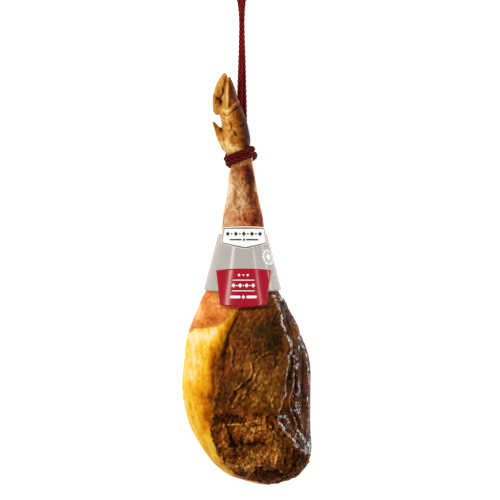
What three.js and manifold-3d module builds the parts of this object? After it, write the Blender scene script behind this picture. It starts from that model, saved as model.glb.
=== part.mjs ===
// A whole cured ham on the bone, lying with its cut side up: the leg with its trotter, the card
// sleeve round the shank with two printed plates on it, and the hanging rope hitched to the ankle.
// Millimetres. +Z is up, +Y runs from the rounded butt end to the trotter, +X is the narrow edge.
// The origin is on the surface that the ham lies on, under the middle of the leg.

import * as THREE from "three";
import { mergeVertices } from "three/addons/utils/BufferGeometryUtils.js";
import Module from "manifold-3d";

const wasm = await Module();
wasm.setup();

// Driving dimensions

const RING_STEP = 9.6;          // along the leg, between two rings of the mesh
const FINE_STEP = 4.8;          // the same near the rope
const FINE_REACH = 30;          // how far from the rope's middle the rings are finer
const AROUND_TOP = 30;          // mesh columns over the upper half of a leg section
const AROUND_BOTTOM = 18;       // and under the lower half
const CLAW_STEP = 7;
const CLAW_COLUMNS = 14;

const WIDEST = 0.47;            // height of a section's widest point, as a share of its thickness
const SQUARE_TOP = 2.3;         // 2 is an oval, and more is squarer
const SQUARE_BOTTOM = 2.05;

const CARD = 1.0;               // thickness of the card
const GAP = 0.35;               // clearance between touching pieces

const ROPE_RADIUS = 5;
const ROPE_SIDES = 8;
const ROPE_STEPS = 76;

// The leg from the butt end to the end of the pastern: place along Y, left and right edge in X,
// lowest and highest point in Z. The first and last rows are the points where the skin closes.
const LEG = [
  [-391, 38, 38, 52, 52],
  [-384, 1, 68, 33, 71],
  [-371, -36, 100, 19, 87],
  [-350, -62, 116, 10, 99],
  [-320, -85, 123.5, 4.5, 108],
  [-275, -109, 121, 1.6, 116],
  [-214, -122.5, 121.5, -1.8, 122],
  [-153, -119, 120, -3, 124],
  [-107, -113, 103.5, -1, 121],
  [-62, -96, 82.5, 6, 114.5],
  [-31, -83, 66, 13, 109],
  [15, -66, 51, 18, 99.5],
  [75, -50, 36.5, 22, 89.5],
  [120, -45.5, 31, 24, 83],
  [166, -37.5, 22, 25, 76],
  [212, -34, 13.5, 25.5, 71],
  [234, -34.5, 11.5, 27, 70.5],
  [250, -44, 11.5, 31, 73],
  [266, -47, 8, 31.5, 75],
  [297, -48, 2, 31.5, 73],
  [326, -54, -9, 34, 66],
  [342, -50, -18, 39, 58],
  [348, -34, -34, 48, 48],
];

// The claws, in rows of the same kind, each from its root inside the foot to its tip.
const LEFT_TOE = [
  [312, -57, -57, 48, 48],
  [316, -63, -49, 38, 60],
  [324, -65, -46, 31, 64],
  [338, -65.5, -46, 30, 63],
  [352, -64, -42.5, 32, 62],
  [366, -60, -39, 35, 60],
  [378, -53.5, -35.5, 40, 58],
  [387, -46.5, -36, 45, 55],
  [392, -41, -41, 51, 51],
];
const RIGHT_TOE = [
  [308, -26, -26, 48, 48],
  [314, -40, -16, 34, 64],
  [324, -46, -11.5, 29, 68],
  [335, -46.5, -13, 28, 68],
  [348, -45, -17, 30, 66],
  [360, -41, -20.5, 34, 63],
  [372, -38, -25, 40, 60],
  [380, -35, -29, 46, 56],
  [384.5, -32, -32, 52, 52],
];
const SIDE_DEWCLAW = [
  [236, -30, -30, 52, 52],
  [246, -46, -24, 38, 66],
  [262, -54, -32, 38, 68],
  [274, -59, -38, 41, 67],
  [286, -61.5, -47, 45, 64],
  [294, -63.5, -54, 49, 60],
  [300, -63, -63, 56, 56],
];
const TOP_DEWCLAW = [
  [252, -26, -26, 64, 64],
  [258, -34.5, -17.5, 60, 76],
  [268, -36, -16.5, 60, 79],
  [280, -35, -20.5, 62, 79.5],
  [290, -33.5, -25, 67, 78.5],
  [296, -31, -31, 75, 75],
];

// Relief of the cut face, drawn in plan. Hollows and mounds: centre, half sizes and height.
const MOUNDS = [
  { x: 42, y: -92, across: 34, along: 44, height: -8 },    // hollow beside the shin
  { x: 20, y: -180, across: 40, along: 46, height: 6 },    // over the hip bone
  { x: 4, y: -285, across: 46, along: 24, height: 8 },     // cushion of the rump
  { x: 30, y: -334, across: 34, along: 20, height: 6 },    // and the lumps under it
  { x: -52, y: -318, across: 20, along: 34, height: 4 },
  { x: 94, y: -334, across: 24, along: 24, height: 5 },    // dark knuckle at the corner
];
// Ridges and creases: points in plan, half width and height.
const FOLDS = [
  { line: [[-34, -60], [-52, -104], [-73, -172], [-78, -232]], width: 13, height: 3 },  // fat's rim
  { line: [[-14, -64], [-32, -104], [-50, -152], [-60, -222]], width: 10, height: -6 },
  { line: [[-64, -258], [-42, -238], [-8, -240], [30, -254], [56, -274]], width: 12, height: -6 },
  { line: [[-20, -306], [8, -312], [32, -304]], width: 10, height: -5 },
  { line: [[-28, -300], [-20, -336], [-4, -374]], width: 10, height: -4 },
  // Crest where the dark side begins, and a fold beyond it
  {
    line: [[60, -48], [74, -90], [78, -130], [68, -190], [67, -240], [66, -280], [84, -318]],
    width: 11, height: 6,
  },
  { line: [[84, -84], [96, -130], [94, -190], [92, -240], [104, -296]], width: 10, height: 4 },
];

// The hitch: the middle of the two turns, their tilt in plan and the half sizes of the rope's line.
const HITCH = { x: -11.8, y: 234, z: 48.5, tilt: THREE.MathUtils.degToRad(20), across: 26.8, up: 26 };
const TURN_OFFSET = ROPE_RADIUS + 0.2;   // each turn's distance from the middle of the two
const GROOVE = { half: 11.5, slope: 1.1, gap: 0.5 };   // how the turns bite into the skin

// The card sleeve is an oval cone: the middle and half sizes of a section, at two places along Y.
const CONE = {
  shank: { y: 88, x: -7.6, z: 56.5, across: 45.5, up: 39 },
  body: { y: -23, x: -7.6, z: 61.5, across: 74.5, up: 54 },
};

// Small helpers

// The row at number u on the Catmull-Rom curve through the rows. A round end is mirrored.
function rowAt(rows, u) {
  const last = rows.length - 1;
  const i = Math.min(Math.floor(u), last - 1);
  const t = u - i;
  const beyond = (end, next) => rows[end].map((v, k) => (k === 0 ? rows[next][k] : 2 * v - rows[next][k]));
  const a = i > 0 ? rows[i - 1] : beyond(0, 1);
  const d = i < last - 1 ? rows[i + 2] : beyond(last, last - 1);
  return rows[i].map((b, k) => {
    const c = rows[i + 1][k];
    return 0.5 * (2 * b + (c - a[k]) * t + (2 * a[k] - 5 * b + 4 * c - d[k]) * t * t
      + (3 * b - a[k] - 3 * c + d[k]) * t * t * t);
  });
}

const smoothstep = (low, high, v) => {
  const t = Math.min(Math.max((v - low) / (high - low), 0), 1);
  return t * t * (3 - 2 * t);
};

// Signed power, for the corners of a superellipse.
const corner = (v, squareness) => Math.sign(v) * Math.abs(v) ** (2 / squareness);

// The angles of a section's columns, denser over the top than under the bottom.
function columnAngles(top, bottom) {
  const angles = [];
  for (let i = 0; i < top; i++) angles.push((Math.PI * i) / top);
  for (let i = 0; i < bottom; i++) angles.push(Math.PI * (1 + i / bottom));
  return angles;
}

// A closed skin over rows of sections: rings of points between two end points.
function loft(rows, angles, stepAt, squareTop = 2, squareBottom = 2) {
  const points = [];
  const ringStarts = [];
  const last = rows.length - 1;
  const pole = ([y, x, , z]) => [x, y, z];
  points.push(pole(rows[0]));
  for (let span = 0; span < last; span++) {
    const reach = Math.hypot(rows[span + 1][0] - rows[span][0], rows[span + 1][2] - rows[span][2]);
    const parts = Math.max(1, Math.round(reach / stepAt(rows[span][0])));
    for (let part = span === 0 ? 1 : 0; part < parts; part++) {
      const [y, left, right, low, high] = rowAt(rows, span + part / parts);
      const middle = low + WIDEST * (high - low);
      ringStarts.push(points.length);
      for (const angle of angles) {
        const c = Math.cos(angle);
        const s = Math.sin(angle);
        const square = s > 0 ? squareTop : squareBottom;
        const x = (left + right) / 2 + ((right - left) / 2) * corner(c, square);
        points.push([x, y, middle + (s > 0 ? high - middle : middle - low) * corner(s, square)]);
      }
    }
  }
  points.push(pole(rows[last]));

  const n = angles.length;
  const faces = [];
  for (let i = 0; i < n; i++) {
    const j = (i + 1) % n;
    faces.push(0, ringStarts[0] + i, ringStarts[0] + j);
    for (let r = 0; r + 1 < ringStarts.length; r++) {
      const [a, b] = [ringStarts[r], ringStarts[r + 1]];
      faces.push(a + i, b + i, a + j, a + j, b + i, b + j);
    }
    const end = ringStarts.at(-1);
    faces.push(end + i, points.length - 1, end + j);
  }
  const geometry = new THREE.BufferGeometry();
  geometry.setAttribute("position", new THREE.Float32BufferAttribute(points.flat(), 3));
  geometry.setIndex(faces);
  return geometry;
}

// Distance in plan from a point to a line of points.
function distanceTo(line, x, y) {
  let best = Infinity;
  for (let i = 0; i + 1 < line.length; i++) {
    const [ax, ay] = line[i];
    const [dx, dy] = [line[i + 1][0] - ax, line[i + 1][1] - ay];
    const t = Math.min(Math.max(((x - ax) * dx + (y - ay) * dy) / (dx * dx + dy * dy), 0), 1);
    best = Math.min(best, Math.hypot(x - ax - t * dx, y - ay - t * dy));
  }
  return best;
}

// Height of the cut face's relief over the smooth leg, at a point in plan.
function relief(x, y) {
  let height = 0;
  for (const m of MOUNDS) {
    const away = Math.hypot((x - m.x) / m.across, (y - m.y) / m.along);
    height += m.height * Math.exp(-1.2 * away * away);
  }
  for (const f of FOLDS) height += f.height * Math.exp(-((distanceTo(f.line, x, y) / f.width) ** 2));
  return height;
}

// The skin bitten in by the two turns: no point stays outside the groove that they fill.
function bite(p) {
  const [c, sn] = [Math.cos(HITCH.tilt), Math.sin(HITCH.tilt)];
  const [dx, dy] = [p.x - HITCH.x, p.y - HITCH.y];
  const across = dx * c + dy * sn;
  const along = dy * c - dx * sn;
  const up = p.z - HITCH.z;
  const inside = ROPE_RADIUS + GROOVE.gap;
  const wall = Math.max(Math.abs(along) - GROOVE.half, 0) * GROOVE.slope;
  const reach = Math.hypot(across / (HITCH.across - inside + wall), up / (HITCH.up - inside + wall));
  const keep = Math.min(1, 1 / reach);
  p.x = HITCH.x + across * keep * c - along * sn;
  p.y = HITCH.y + across * keep * sn + along * c;
  p.z = HITCH.z + up * keep;
}

// The leg's skin with its relief, the groove under the rope and the flat that it lies on.
function legGeometry() {
  const stepAt = (y) => (Math.abs(y - HITCH.y) < FINE_REACH ? FINE_STEP : RING_STEP);
  const columns = columnAngles(AROUND_TOP, AROUND_BOTTOM);
  const geometry = loft(LEG, columns, stepAt, SQUARE_TOP, SQUARE_BOTTOM);
  geometry.computeVertexNormals();
  const { position, normal } = geometry.attributes;
  for (let i = 0; i < position.count; i++) {
    const p = new THREE.Vector3().fromBufferAttribute(position, i);
    const n = new THREE.Vector3().fromBufferAttribute(normal, i);
    p.addScaledVector(n, smoothstep(-0.1, 0.45, n.z) * relief(p.x, p.y));
    if (Math.abs(p.y - HITCH.y) < 2 * FINE_REACH) bite(p);
    p.z = Math.max(p.z, 0);
    position.setXYZ(i, p.x, p.y, p.z);
  }
  return geometry;
}

// Solids in and out of the Boolean library

function solid(geometry) {
  const bare = geometry.clone();
  bare.deleteAttribute("normal");
  bare.deleteAttribute("uv");
  const merged = mergeVertices(bare, 1e-3);
  return new wasm.Manifold(new wasm.Mesh({
    numProp: 3,
    vertProperties: new Float32Array(merged.attributes.position.array),
    triVerts: new Uint32Array(merged.index.array),
  }));
}

function geometryOf(manifold) {
  const mesh = manifold.getMesh();
  const geometry = new THREE.BufferGeometry();
  geometry.setAttribute("position", new THREE.BufferAttribute(new Float32Array(mesh.vertProperties), 3));
  geometry.setIndex(new THREE.BufferAttribute(new Uint32Array(mesh.triVerts), 1));
  geometry.computeVertexNormals();
  return geometry;
}

// The whole leg as one solid: the skin, two toes and two dewclaws grown together.
function hamGeometry() {
  const columns = columnAngles(CLAW_COLUMNS / 2, CLAW_COLUMNS / 2);
  let ham = solid(legGeometry());
  for (const rows of [LEFT_TOE, RIGHT_TOE, SIDE_DEWCLAW, TOP_DEWCLAW])
    ham = ham.add(solid(loft(rows, columns, () => CLAW_STEP)));
  return geometryOf(ham);
}

// Card pieces

// The cone's section at a place along Y.
function coneAt(y) {
  const t = (y - CONE.shank.y) / (CONE.body.y - CONE.shank.y);
  const mix = (key) => THREE.MathUtils.lerp(CONE.shank[key], CONE.body[key], t);
  return { x: mix("x"), z: mix("z"), across: mix("across"), up: mix("up") };
}

// A point on the cone at an angle from its top, moved out by a distance.
function onCone(y, angle, out) {
  const s = coneAt(y);
  const normal = new THREE.Vector2(Math.sin(angle) / s.across, Math.cos(angle) / s.up).normalize();
  return [
    s.x + s.across * Math.sin(angle) + out * normal.x,
    y,
    s.z + s.up * Math.cos(angle) + out * normal.y,
  ];
}

// A closed sheet: an inner and an outer grid of points joined round the rim.
// place(u, v, outer) gives a point; u runs along the rows and v across, from 0 to 1.
function sheetGeometry(rows, columns, place, wraps) {
  const points = [];
  const faces = [];
  const wide = wraps ? columns : columns + 1;
  const at = (side, r, c) => (side * (rows + 1) + r) * wide + (wraps ? c % columns : c);
  for (const side of [0, 1])
    for (let r = 0; r <= rows; r++)
      for (let c = 0; c < wide; c++) points.push(place(r / rows, c / columns, side === 1));
  const quad = (a, b, c, d) => faces.push(a, b, c, a, c, d);
  for (let r = 0; r < rows; r++)
    for (let c = 0; c < columns; c++) {
      quad(at(1, r, c), at(1, r, c + 1), at(1, r + 1, c + 1), at(1, r + 1, c));
      quad(at(0, r, c), at(0, r + 1, c), at(0, r + 1, c + 1), at(0, r, c + 1));
    }
  for (let c = 0; c < columns; c++) {
    quad(at(0, 0, c), at(0, 0, c + 1), at(1, 0, c + 1), at(1, 0, c));
    quad(at(0, rows, c), at(1, rows, c), at(1, rows, c + 1), at(0, rows, c + 1));
  }
  for (let r = 0; !wraps && r < rows; r++) {
    quad(at(0, r, 0), at(1, r, 0), at(1, r + 1, 0), at(0, r + 1, 0));
    quad(at(0, r, columns), at(0, r + 1, columns), at(1, r + 1, columns), at(1, r, columns));
  }
  const geometry = new THREE.BufferGeometry();
  geometry.setAttribute("position", new THREE.Float32BufferAttribute(points.flat(), 3));
  geometry.setIndex(faces);
  geometry.computeVertexNormals();
  return geometry;
}

// The sleeve's two rims bow away from its middle over the shown side.
const SLEEVE = { low: -18.5, high: 86.5, lowBow: -4.5, highBow: 2 };

function sleeveGeometry() {
  return sheetGeometry(2, 56, (u, v, outer) => {
    const angle = 2 * Math.PI * v;
    const low = SLEEVE.low + SLEEVE.lowBow * Math.cos(angle);
    const high = SLEEVE.high + SLEEVE.highBow * Math.cos(angle);
    return onCone(THREE.MathUtils.lerp(low, high, u), angle, outer ? CARD : 0);
  }, true);
}

// A plate on the sleeve, from its edges in plan: each a function of the share across or along.
function plateGeometry({ low, high, left, right }, rows, columns) {
  const inside = CARD + GAP;
  return sheetGeometry(rows, columns, (u, v, outer) => {
    const y = THREE.MathUtils.lerp(low(v), high(v), u);
    const s = coneAt(y);
    const turned = (x) => Math.asin((x - s.x) / s.across);
    const angle = THREE.MathUtils.lerp(turned(left(y)), turned(right(y)), v);
    return onCone(y, angle, outer ? inside + CARD : inside);
  }, false);
}

const bow = (v) => 1 - (2 * v - 1) ** 2;
const straight = (y0, x0, y1, x1) => (y) => x0 + ((x1 - x0) * (y - y0)) / (y1 - y0);

// The coloured plate: wider at the top, its lower end hanging below the sleeve.
const RED_PLATE = {
  low: (v) => -46.5 - 4 * bow(v),
  high: (v) => 18 + 3.4 * bow(v),
  left: straight(-46.5, -49, 18, -56),
  right: straight(-46.5, 36.5, 18, 45),
};

// The pale plate: narrower at the top, standing above the sleeve, with a shallow point below.
const POINT = 11.5;
const PALE_PLATE = {
  low: (v) => 68.5 - POINT * (1 - Math.abs(2 * v - 1)),
  high: (v) => 98.5 + 2 * bow(v),
  left: straight(68.5, -47, 98.5, -42),
  right: straight(68.5, 37.5, 98.5, 32),
};

// Rope

class Route extends THREE.CatmullRomCurve3 {
  constructor(points) {
    super(points.map((p) => new THREE.Vector3(...p)), false, "centripetal");
  }
}

function tube(curve) {
  const ring = new THREE.Shape();
  for (let i = 0; i < ROPE_SIDES; i++) {
    const angle = (2 * Math.PI * i) / ROPE_SIDES;
    const [x, y] = [ROPE_RADIUS * Math.cos(angle), ROPE_RADIUS * Math.sin(angle)];
    if (i === 0) ring.moveTo(x, y);
    else ring.lineTo(x, y);
  }
  return new THREE.ExtrudeGeometry(ring, { steps: ROPE_STEPS, bevelEnabled: false, extrudePath: curve });
}

// A point of the hitch: angle round the ankle from +X through the top, distance from the middle
// of the two turns along the ankle, and lift off the first layer.
function onHitch(degrees, offset, lift) {
  const angle = THREE.MathUtils.degToRad(degrees);
  const across = (HITCH.across + lift) * Math.cos(angle);
  const [c, s] = [Math.cos(HITCH.tilt), Math.sin(HITCH.tilt)];
  return [
    HITCH.x + across * c - offset * s,
    HITCH.y + across * s + offset * c,
    HITCH.z + (HITCH.up + lift) * Math.sin(angle),
  ];
}

// Where the hitch's strands go over into the free loop, and how steeply they head down there.
const STRANDS = { left: -14.2, right: -3.8, y: 276, z: 19.4, fall: 0.24 };

// A point of the strand at x, at a distance past the joint along the strand.
function atJoint(x, past) {
  const length = Math.hypot(1, STRANDS.fall);
  return [x, STRANDS.y + past / length, STRANDS.z - (STRANDS.fall * past) / length];
}

const LAYER = 2 * ROPE_RADIUS + 0.6;   // lift of the rope where it crosses over itself

// From the joint each strand runs under the ankle, as places in the ham's frame, and then turns
// under the bight, as angle, distance from the middle and lift.
const UPPER_STRAND = {
  under: [[-14.3, 266, 21.4], [-15, 257, 22.4], [-16.5, 250.5, 22.6]],
  turning: [[-97, 11.6, 0], [-107, 8.2, 0], [-119, 6.1, 0]],
};
const LOWER_STRAND = {
  under: [[-3.8, 266, 21.6], [-4, 259, 22.8], [-4.6, 252.5, 23.8]],
  turning: [[-68, 9, 0], [-76, 3.6, 0], [-87, -0.8, 0], [-101, -3.8, 0], [-116, -5, 0]],
};
// Then it laps the ankle once and, in the second layer, goes out to the bight.
const TAIL = [
  [-372, 5.6, 0.6], [-390, 7, 4.2], [-406, 9, 9], [-424, 11.4, LAYER], [-442, 13.6, LAYER],
  [-460, 15, LAYER],
];
const BIGHT = { degrees: -470, radius: 15.2 };

function hitchRoute() {
  const lap = [];
  for (let degrees = -132; degrees >= -352; degrees -= 20) lap.push([degrees, TURN_OFFSET, 0]);
  const bight = [];
  for (let turned = 0; turned <= 180; turned += 30) {
    const angle = THREE.MathUtils.degToRad(turned);
    const arc = (BIGHT.radius * Math.sin(angle)) / (HITCH.across + LAYER);
    bight.push([BIGHT.degrees - THREE.MathUtils.radToDeg(arc), BIGHT.radius * Math.cos(angle), LAYER]);
  }
  const mirrored = (rows) => rows.map(([degrees, offset, lift]) => [degrees, -offset, lift]).reverse();
  const rows = [
    ...UPPER_STRAND.turning, ...lap, ...TAIL, ...bight,
    ...mirrored(TAIL), ...mirrored(lap), ...LOWER_STRAND.turning.toReversed(),
  ];
  return new Route([
    atJoint(STRANDS.left, -GAP / 2),
    atJoint(STRANDS.left, -4),
    ...UPPER_STRAND.under,
    ...rows.map((row) => onHitch(...row)),
    ...LOWER_STRAND.under.toReversed(),
    atJoint(STRANDS.right, -4),
    atJoint(STRANDS.right, -GAP / 2),
  ]);
}

// The free loop: two strands run out from under the trotter, one of them over the other in one
// long low crossing, and open into an eye that lies flat.
const LAID = ROPE_RADIUS + 0.3;
const EYE = { x: -9, y: 610, radius: 24 };
const OVER = [
  [-14.1, 302, 15.2], [-13.6, 326, 14.6], [-12.9, 354, 14.6], [-12.1, 384, 14.8], [-11.2, 414, 15.2],
  [-10.2, 444, 15.6], [-9.4, 474, 15.9], [-8.6, 504, 16], [-6.8, 530, 15.4], [-2.6, 552, 12.6],
  [3.6, 571, 8.8], [10, 588, 6.2],
];
const UNDER = [
  [-3.9, 300, 12.6], [-4.3, 320, 8], [-4.8, 342, LAID], [-5.5, 370, LAID], [-6.3, 400, LAID],
  [-7.2, 430, LAID], [-8.2, 460, LAID], [-9.2, 490, LAID], [-10.6, 516, LAID], [-13.6, 538, LAID],
  [-18.2, 556, LAID], [-24, 574, LAID], [-29.6, 591, LAID],
];

function loopRoute() {
  const eye = [];
  for (let degrees = 0; degrees <= 180; degrees += 30) {
    const angle = THREE.MathUtils.degToRad(degrees);
    eye.push([EYE.x + EYE.radius * Math.cos(angle), EYE.y + EYE.radius * Math.sin(angle), LAID]);
  }
  const start = (x) => [atJoint(x, GAP / 2), atJoint(x, 10)];
  return new Route([
    ...start(STRANDS.left), ...OVER, ...eye, ...UNDER.toReversed(), ...start(STRANDS.right).reverse(),
  ]);
}

// Assembly

const FINISHES = {
  meat: { color: 0x8a4a1c, roughness: 0.45 },
  silverCard: { color: 0xb6afa7, roughness: 0.4, metalness: 0.3 },
  redCard: { color: 0xb01c30, roughness: 0.4 },
  paleCard: { color: 0xf4f1ea, roughness: 0.5 },
  rope: { color: 0x6b1b1b, roughness: 0.9 },
};

function piece(name, geometry, finish) {
  const mesh = new THREE.Mesh(geometry, new THREE.MeshStandardMaterial(FINISHES[finish]));
  mesh.name = name;
  return mesh;
}

const hamOnTheBone = new THREE.Group();
hamOnTheBone.add(
  piece("ham", hamGeometry(), "meat"),
  piece("sleeve", sleeveGeometry(), "silverCard"),
  piece("red_plate", plateGeometry(RED_PLATE, 6, 16), "redCard"),
  piece("pale_plate", plateGeometry(PALE_PLATE, 4, 16), "paleCard"),
  piece("rope_hitch", tube(hitchRoute()), "rope"),
  piece("rope_loop", tube(loopRoute()), "rope"),
);

export default hamOnTheBone;
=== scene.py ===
# %% [markdown]
# A whole cured ham on the bone, lying with its cut side up.
#
# The solids come packed in a fixed frame: the ham, a card sleeve with two plates, and the hanging
# rope in two stretches. This lesson gives each of them the surface of the real thing: braid on the
# rope, folds and grain on the meat, print on the card. All tables below are in millimetres.

# %% Load the fixed frame
import math

import bmesh
import bpy
import numpy as np
from mathutils import Matrix, Vector, noise


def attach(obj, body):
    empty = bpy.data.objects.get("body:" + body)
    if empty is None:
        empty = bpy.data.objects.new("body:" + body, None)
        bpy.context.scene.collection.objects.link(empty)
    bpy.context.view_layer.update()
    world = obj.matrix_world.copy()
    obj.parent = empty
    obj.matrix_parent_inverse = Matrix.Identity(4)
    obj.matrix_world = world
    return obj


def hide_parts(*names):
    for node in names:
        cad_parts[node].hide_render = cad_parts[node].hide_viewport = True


MM = 0.001
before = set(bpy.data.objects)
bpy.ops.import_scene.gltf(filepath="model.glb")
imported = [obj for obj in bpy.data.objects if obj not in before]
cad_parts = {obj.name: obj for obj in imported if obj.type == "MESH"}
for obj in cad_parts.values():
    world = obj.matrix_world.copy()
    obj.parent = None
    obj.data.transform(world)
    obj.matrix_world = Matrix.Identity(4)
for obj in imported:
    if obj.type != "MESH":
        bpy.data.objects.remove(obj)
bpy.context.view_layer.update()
scene = bpy.context.scene
print("solids:", sorted(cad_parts))

# %% [markdown]
# The camera looks straight down on the ham from four metres, as a product photographer's camera
# looks at a hanging one. A long lens keeps the near and the far side of the leg the same size. The
# lens follows from the width that the picture covers, so the framing is one number to change.

# %% Camera
VIEW_WIDTH = 950
VIEW_MIDDLE = (6.65, 56.05, 60)
VIEW_DISTANCE = 4000

camera_data = bpy.data.cameras.new("camera")
camera_data.sensor_width = 36
camera_data.lens = camera_data.sensor_width * VIEW_DISTANCE / VIEW_WIDTH
camera = bpy.data.objects.new("camera", camera_data)
camera.location = (Vector(VIEW_MIDDLE) + Vector((0, 0, VIEW_DISTANCE))) * MM
scene.collection.objects.link(camera)
scene.camera = camera
print("lens in mm:", round(camera_data.lens, 1))

# %% [markdown]
# Node trees are long when they are written out link by link. These helpers add a node with its
# inputs in one call, for Geometry Nodes and for materials alike, and turn a colour as an eye sees
# it on a screen into the linear light that Blender mixes.

# %% Helpers for node trees
def feed(tree, made, inputs):
    """Fills a node's sockets, by name or number, with a value or with another node's output."""
    for key, value in inputs.items():
        if isinstance(value, bpy.types.NodeSocket):
            tree.links.new(value, made.inputs[key])
        else:
            made.inputs[key].default_value = value


def node(tree, kind, inputs=None, **settings):
    """A new node with its settings made and its sockets filled."""
    made = tree.nodes.new(kind)
    for key, value in settings.items():
        setattr(made, key, value)
    feed(tree, made, inputs or {})
    return made


def result(tree, kind, inputs=None, **settings):
    """The first output of a new node."""
    return node(tree, kind, inputs, **settings).outputs[0]


def calc(tree, operation, *values):
    """The output of one Math node."""
    return result(tree, "ShaderNodeMath", dict(enumerate(values)), operation=operation)


def weighted(tree, start, *terms):
    """A start value plus each term times its weight."""
    for value, weight in terms:
        start = calc(tree, "MULTIPLY_ADD", value, weight, start)
    return start


def colour(red, green, blue):
    """A screen colour, 0 to 255, as linear RGBA."""
    parts = [v / 255 for v in (red, green, blue)]
    linear = [v / 12.92 if v <= 0.04045 else ((v + 0.055) / 1.055) ** 2.4 for v in parts]
    return (*linear, 1.0)


def blend(tree, share, first, second):
    """Mixes two colours by a share from 0 to 1."""
    made = node(tree, "ShaderNodeMix", {0: share, 6: first, 7: second}, data_type="RGBA")
    return made.outputs[2]


def attribute(tree, name):
    """A number that the mesh keeps at each point."""
    return node(tree, "ShaderNodeAttribute", attribute_name=name).outputs["Fac"]


def ramp(tree, value, stops):
    """A colour ramp: each stop is its position from 0 to 1 and a screen colour."""
    made = node(tree, "ShaderNodeValToRGB", {0: value})
    elements = made.color_ramp.elements
    while len(elements) < len(stops):
        elements.new(0.5)
    for element, (position, shade) in zip(elements, stops):
        element.position = position
        element.color = colour(*shade)
    return made.outputs["Color"]


def new_material(name):
    """An empty material: its tree and its shader."""
    material = bpy.data.materials.new(name)
    material.use_nodes = True
    return material, material.node_tree, material.node_tree.nodes["Principled BSDF"]


def grain(tree, scale, detail=4, roughness=0.55, stretch=(1, 1, 1), distortion=0.0):
    """Noise fixed to the object. scale counts lumps to a metre; stretch draws them out."""
    fixed = node(tree, "ShaderNodeTexCoord").outputs["Object"]
    drawn_out = result(tree, "ShaderNodeMapping", {"Vector": fixed, "Scale": stretch})
    inputs = {"Vector": drawn_out, "Scale": scale, "Detail": detail, "Roughness": roughness,
              "Distortion": distortion}
    return result(tree, "ShaderNodeTexNoise", inputs)


def bump(tree, height, strength, depth):
    """Bump from a height of 0 to 1, its depth in millimetres."""
    inputs = {"Height": height, "Strength": strength, "Distance": depth * MM}
    return result(tree, "ShaderNodeBump", inputs)


# %% [markdown]
# Every finished piece is a plain mesh whose object sits at the origin. One helper makes a piece
# from points in millimetres, one turns an object with modifiers into such a plain mesh, and one
# rides a piece on the ham's body and says which solids it stands for.

# %% Helpers for pieces
def mesh_piece(name, points, faces, material):
    """A smooth piece of one material from points in millimetres."""
    mesh = bpy.data.meshes.new(name)
    mesh.from_pydata([[v * MM for v in p] for p in points], [], faces)
    mesh.materials.append(material)
    mesh.shade_smooth()
    made = bpy.data.objects.new(name, mesh)
    scene.collection.objects.link(made)
    return made


def plain_mesh(source, name):
    """The evaluated object as a mesh piece of its own; the source object is removed."""
    depsgraph = bpy.context.evaluated_depsgraph_get()
    mesh = bpy.data.meshes.new_from_object(source.evaluated_get(depsgraph), depsgraph=depsgraph)
    mesh.name = name
    bpy.data.objects.remove(source)
    made = bpy.data.objects.new(name, mesh)
    scene.collection.objects.link(made)
    return made


def place(piece, slot, *nodes):
    """The piece rides with the ham and stands for these solids."""
    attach(piece, "root")
    if nodes:
        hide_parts(*nodes)
    print(piece.name, "faces:", len(piece.data.polygons))


# %% [markdown]
# What repeats or follows a path is made by Geometry Nodes: the braid of the rope and the waves on
# the card. A tree has named inputs for its sizes, and it ends by making its copies real and
# setting their material. It runs on a guide mesh, and its result is kept as a plain mesh.

# %% Helpers for Geometry Nodes
def new_tree(name, inputs):
    """An empty tree, the outputs that bring in its named inputs, and the identifier of each."""
    tree = bpy.data.node_groups.new(name, "GeometryNodeTree")
    tree.is_modifier = True
    sockets = {}
    for label, kind in inputs.items():
        made = tree.interface.new_socket(label, in_out="INPUT", socket_type="NodeSocket" + kind)
        sockets[label] = made.identifier
    tree.interface.new_socket("Result", in_out="OUTPUT", socket_type="NodeSocketGeometry")
    return tree, tree.nodes.new("NodeGroupInput").outputs, sockets


def end_tree(tree, geometry, material):
    """Makes the tree's copies real, gives them their material and hands them out."""
    real = result(tree, "GeometryNodeRealizeInstances", {"Geometry": geometry})
    coated = result(tree, "GeometryNodeSetMaterial", {"Geometry": real, "Material": material})
    feed(tree, tree.nodes.new("NodeGroupOutput"), {0: coated})


def run_tree(tree, sockets, name, guide, values):
    """What the tree makes of a guide mesh, with a value for each input, as a plain mesh."""
    made = bpy.data.objects.new(name, guide)
    scene.collection.objects.link(made)
    modifier = made.modifiers.new(name, "NODES")
    modifier.node_group = tree
    for label, value in values.items():
        modifier[sockets[label]] = value
    return plain_mesh(made, name)


# %% [markdown]
# The rope is a limp braided cord of 10 mm. It goes twice round the ankle in a hitch, comes out
# under the foot as two strands, and lies on the surface in one long loop that ends in an eye. Its
# route is a list of points, the same ones as the solids', joined by a smooth curve.

# %% The rope's route
ROPE_RADIUS = 5
HITCH = {"x": -11.8, "y": 234, "z": 48.5, "tilt": math.radians(20), "across": 26.8, "up": 26}
TURN_OFFSET = ROPE_RADIUS + 0.2
LAYER = 2 * ROPE_RADIUS + 0.6
STRANDS = {"left": -14.2, "right": -3.8, "y": 276, "z": 19.4, "fall": 0.24}
UPPER_UNDER = [(-14.3, 266, 21.4), (-15, 257, 22.4), (-16.5, 250.5, 22.6)]
UPPER_TURNING = [(-97, 11.6, 0), (-107, 8.2, 0), (-119, 6.1, 0)]
LOWER_UNDER = [(-3.8, 266, 21.6), (-4, 259, 22.8), (-4.6, 252.5, 23.8)]
LOWER_TURNING = [(-68, 9, 0), (-76, 3.6, 0), (-87, -0.8, 0), (-101, -3.8, 0), (-116, -5, 0)]
TAIL = [(-372, 5.6, 0.6), (-390, 7, 4.2), (-406, 9, 9), (-424, 11.4, LAYER),
        (-442, 13.6, LAYER), (-460, 15, LAYER)]
BIGHT_DEGREES = -470
BIGHT_RADIUS = 15.2

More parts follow.
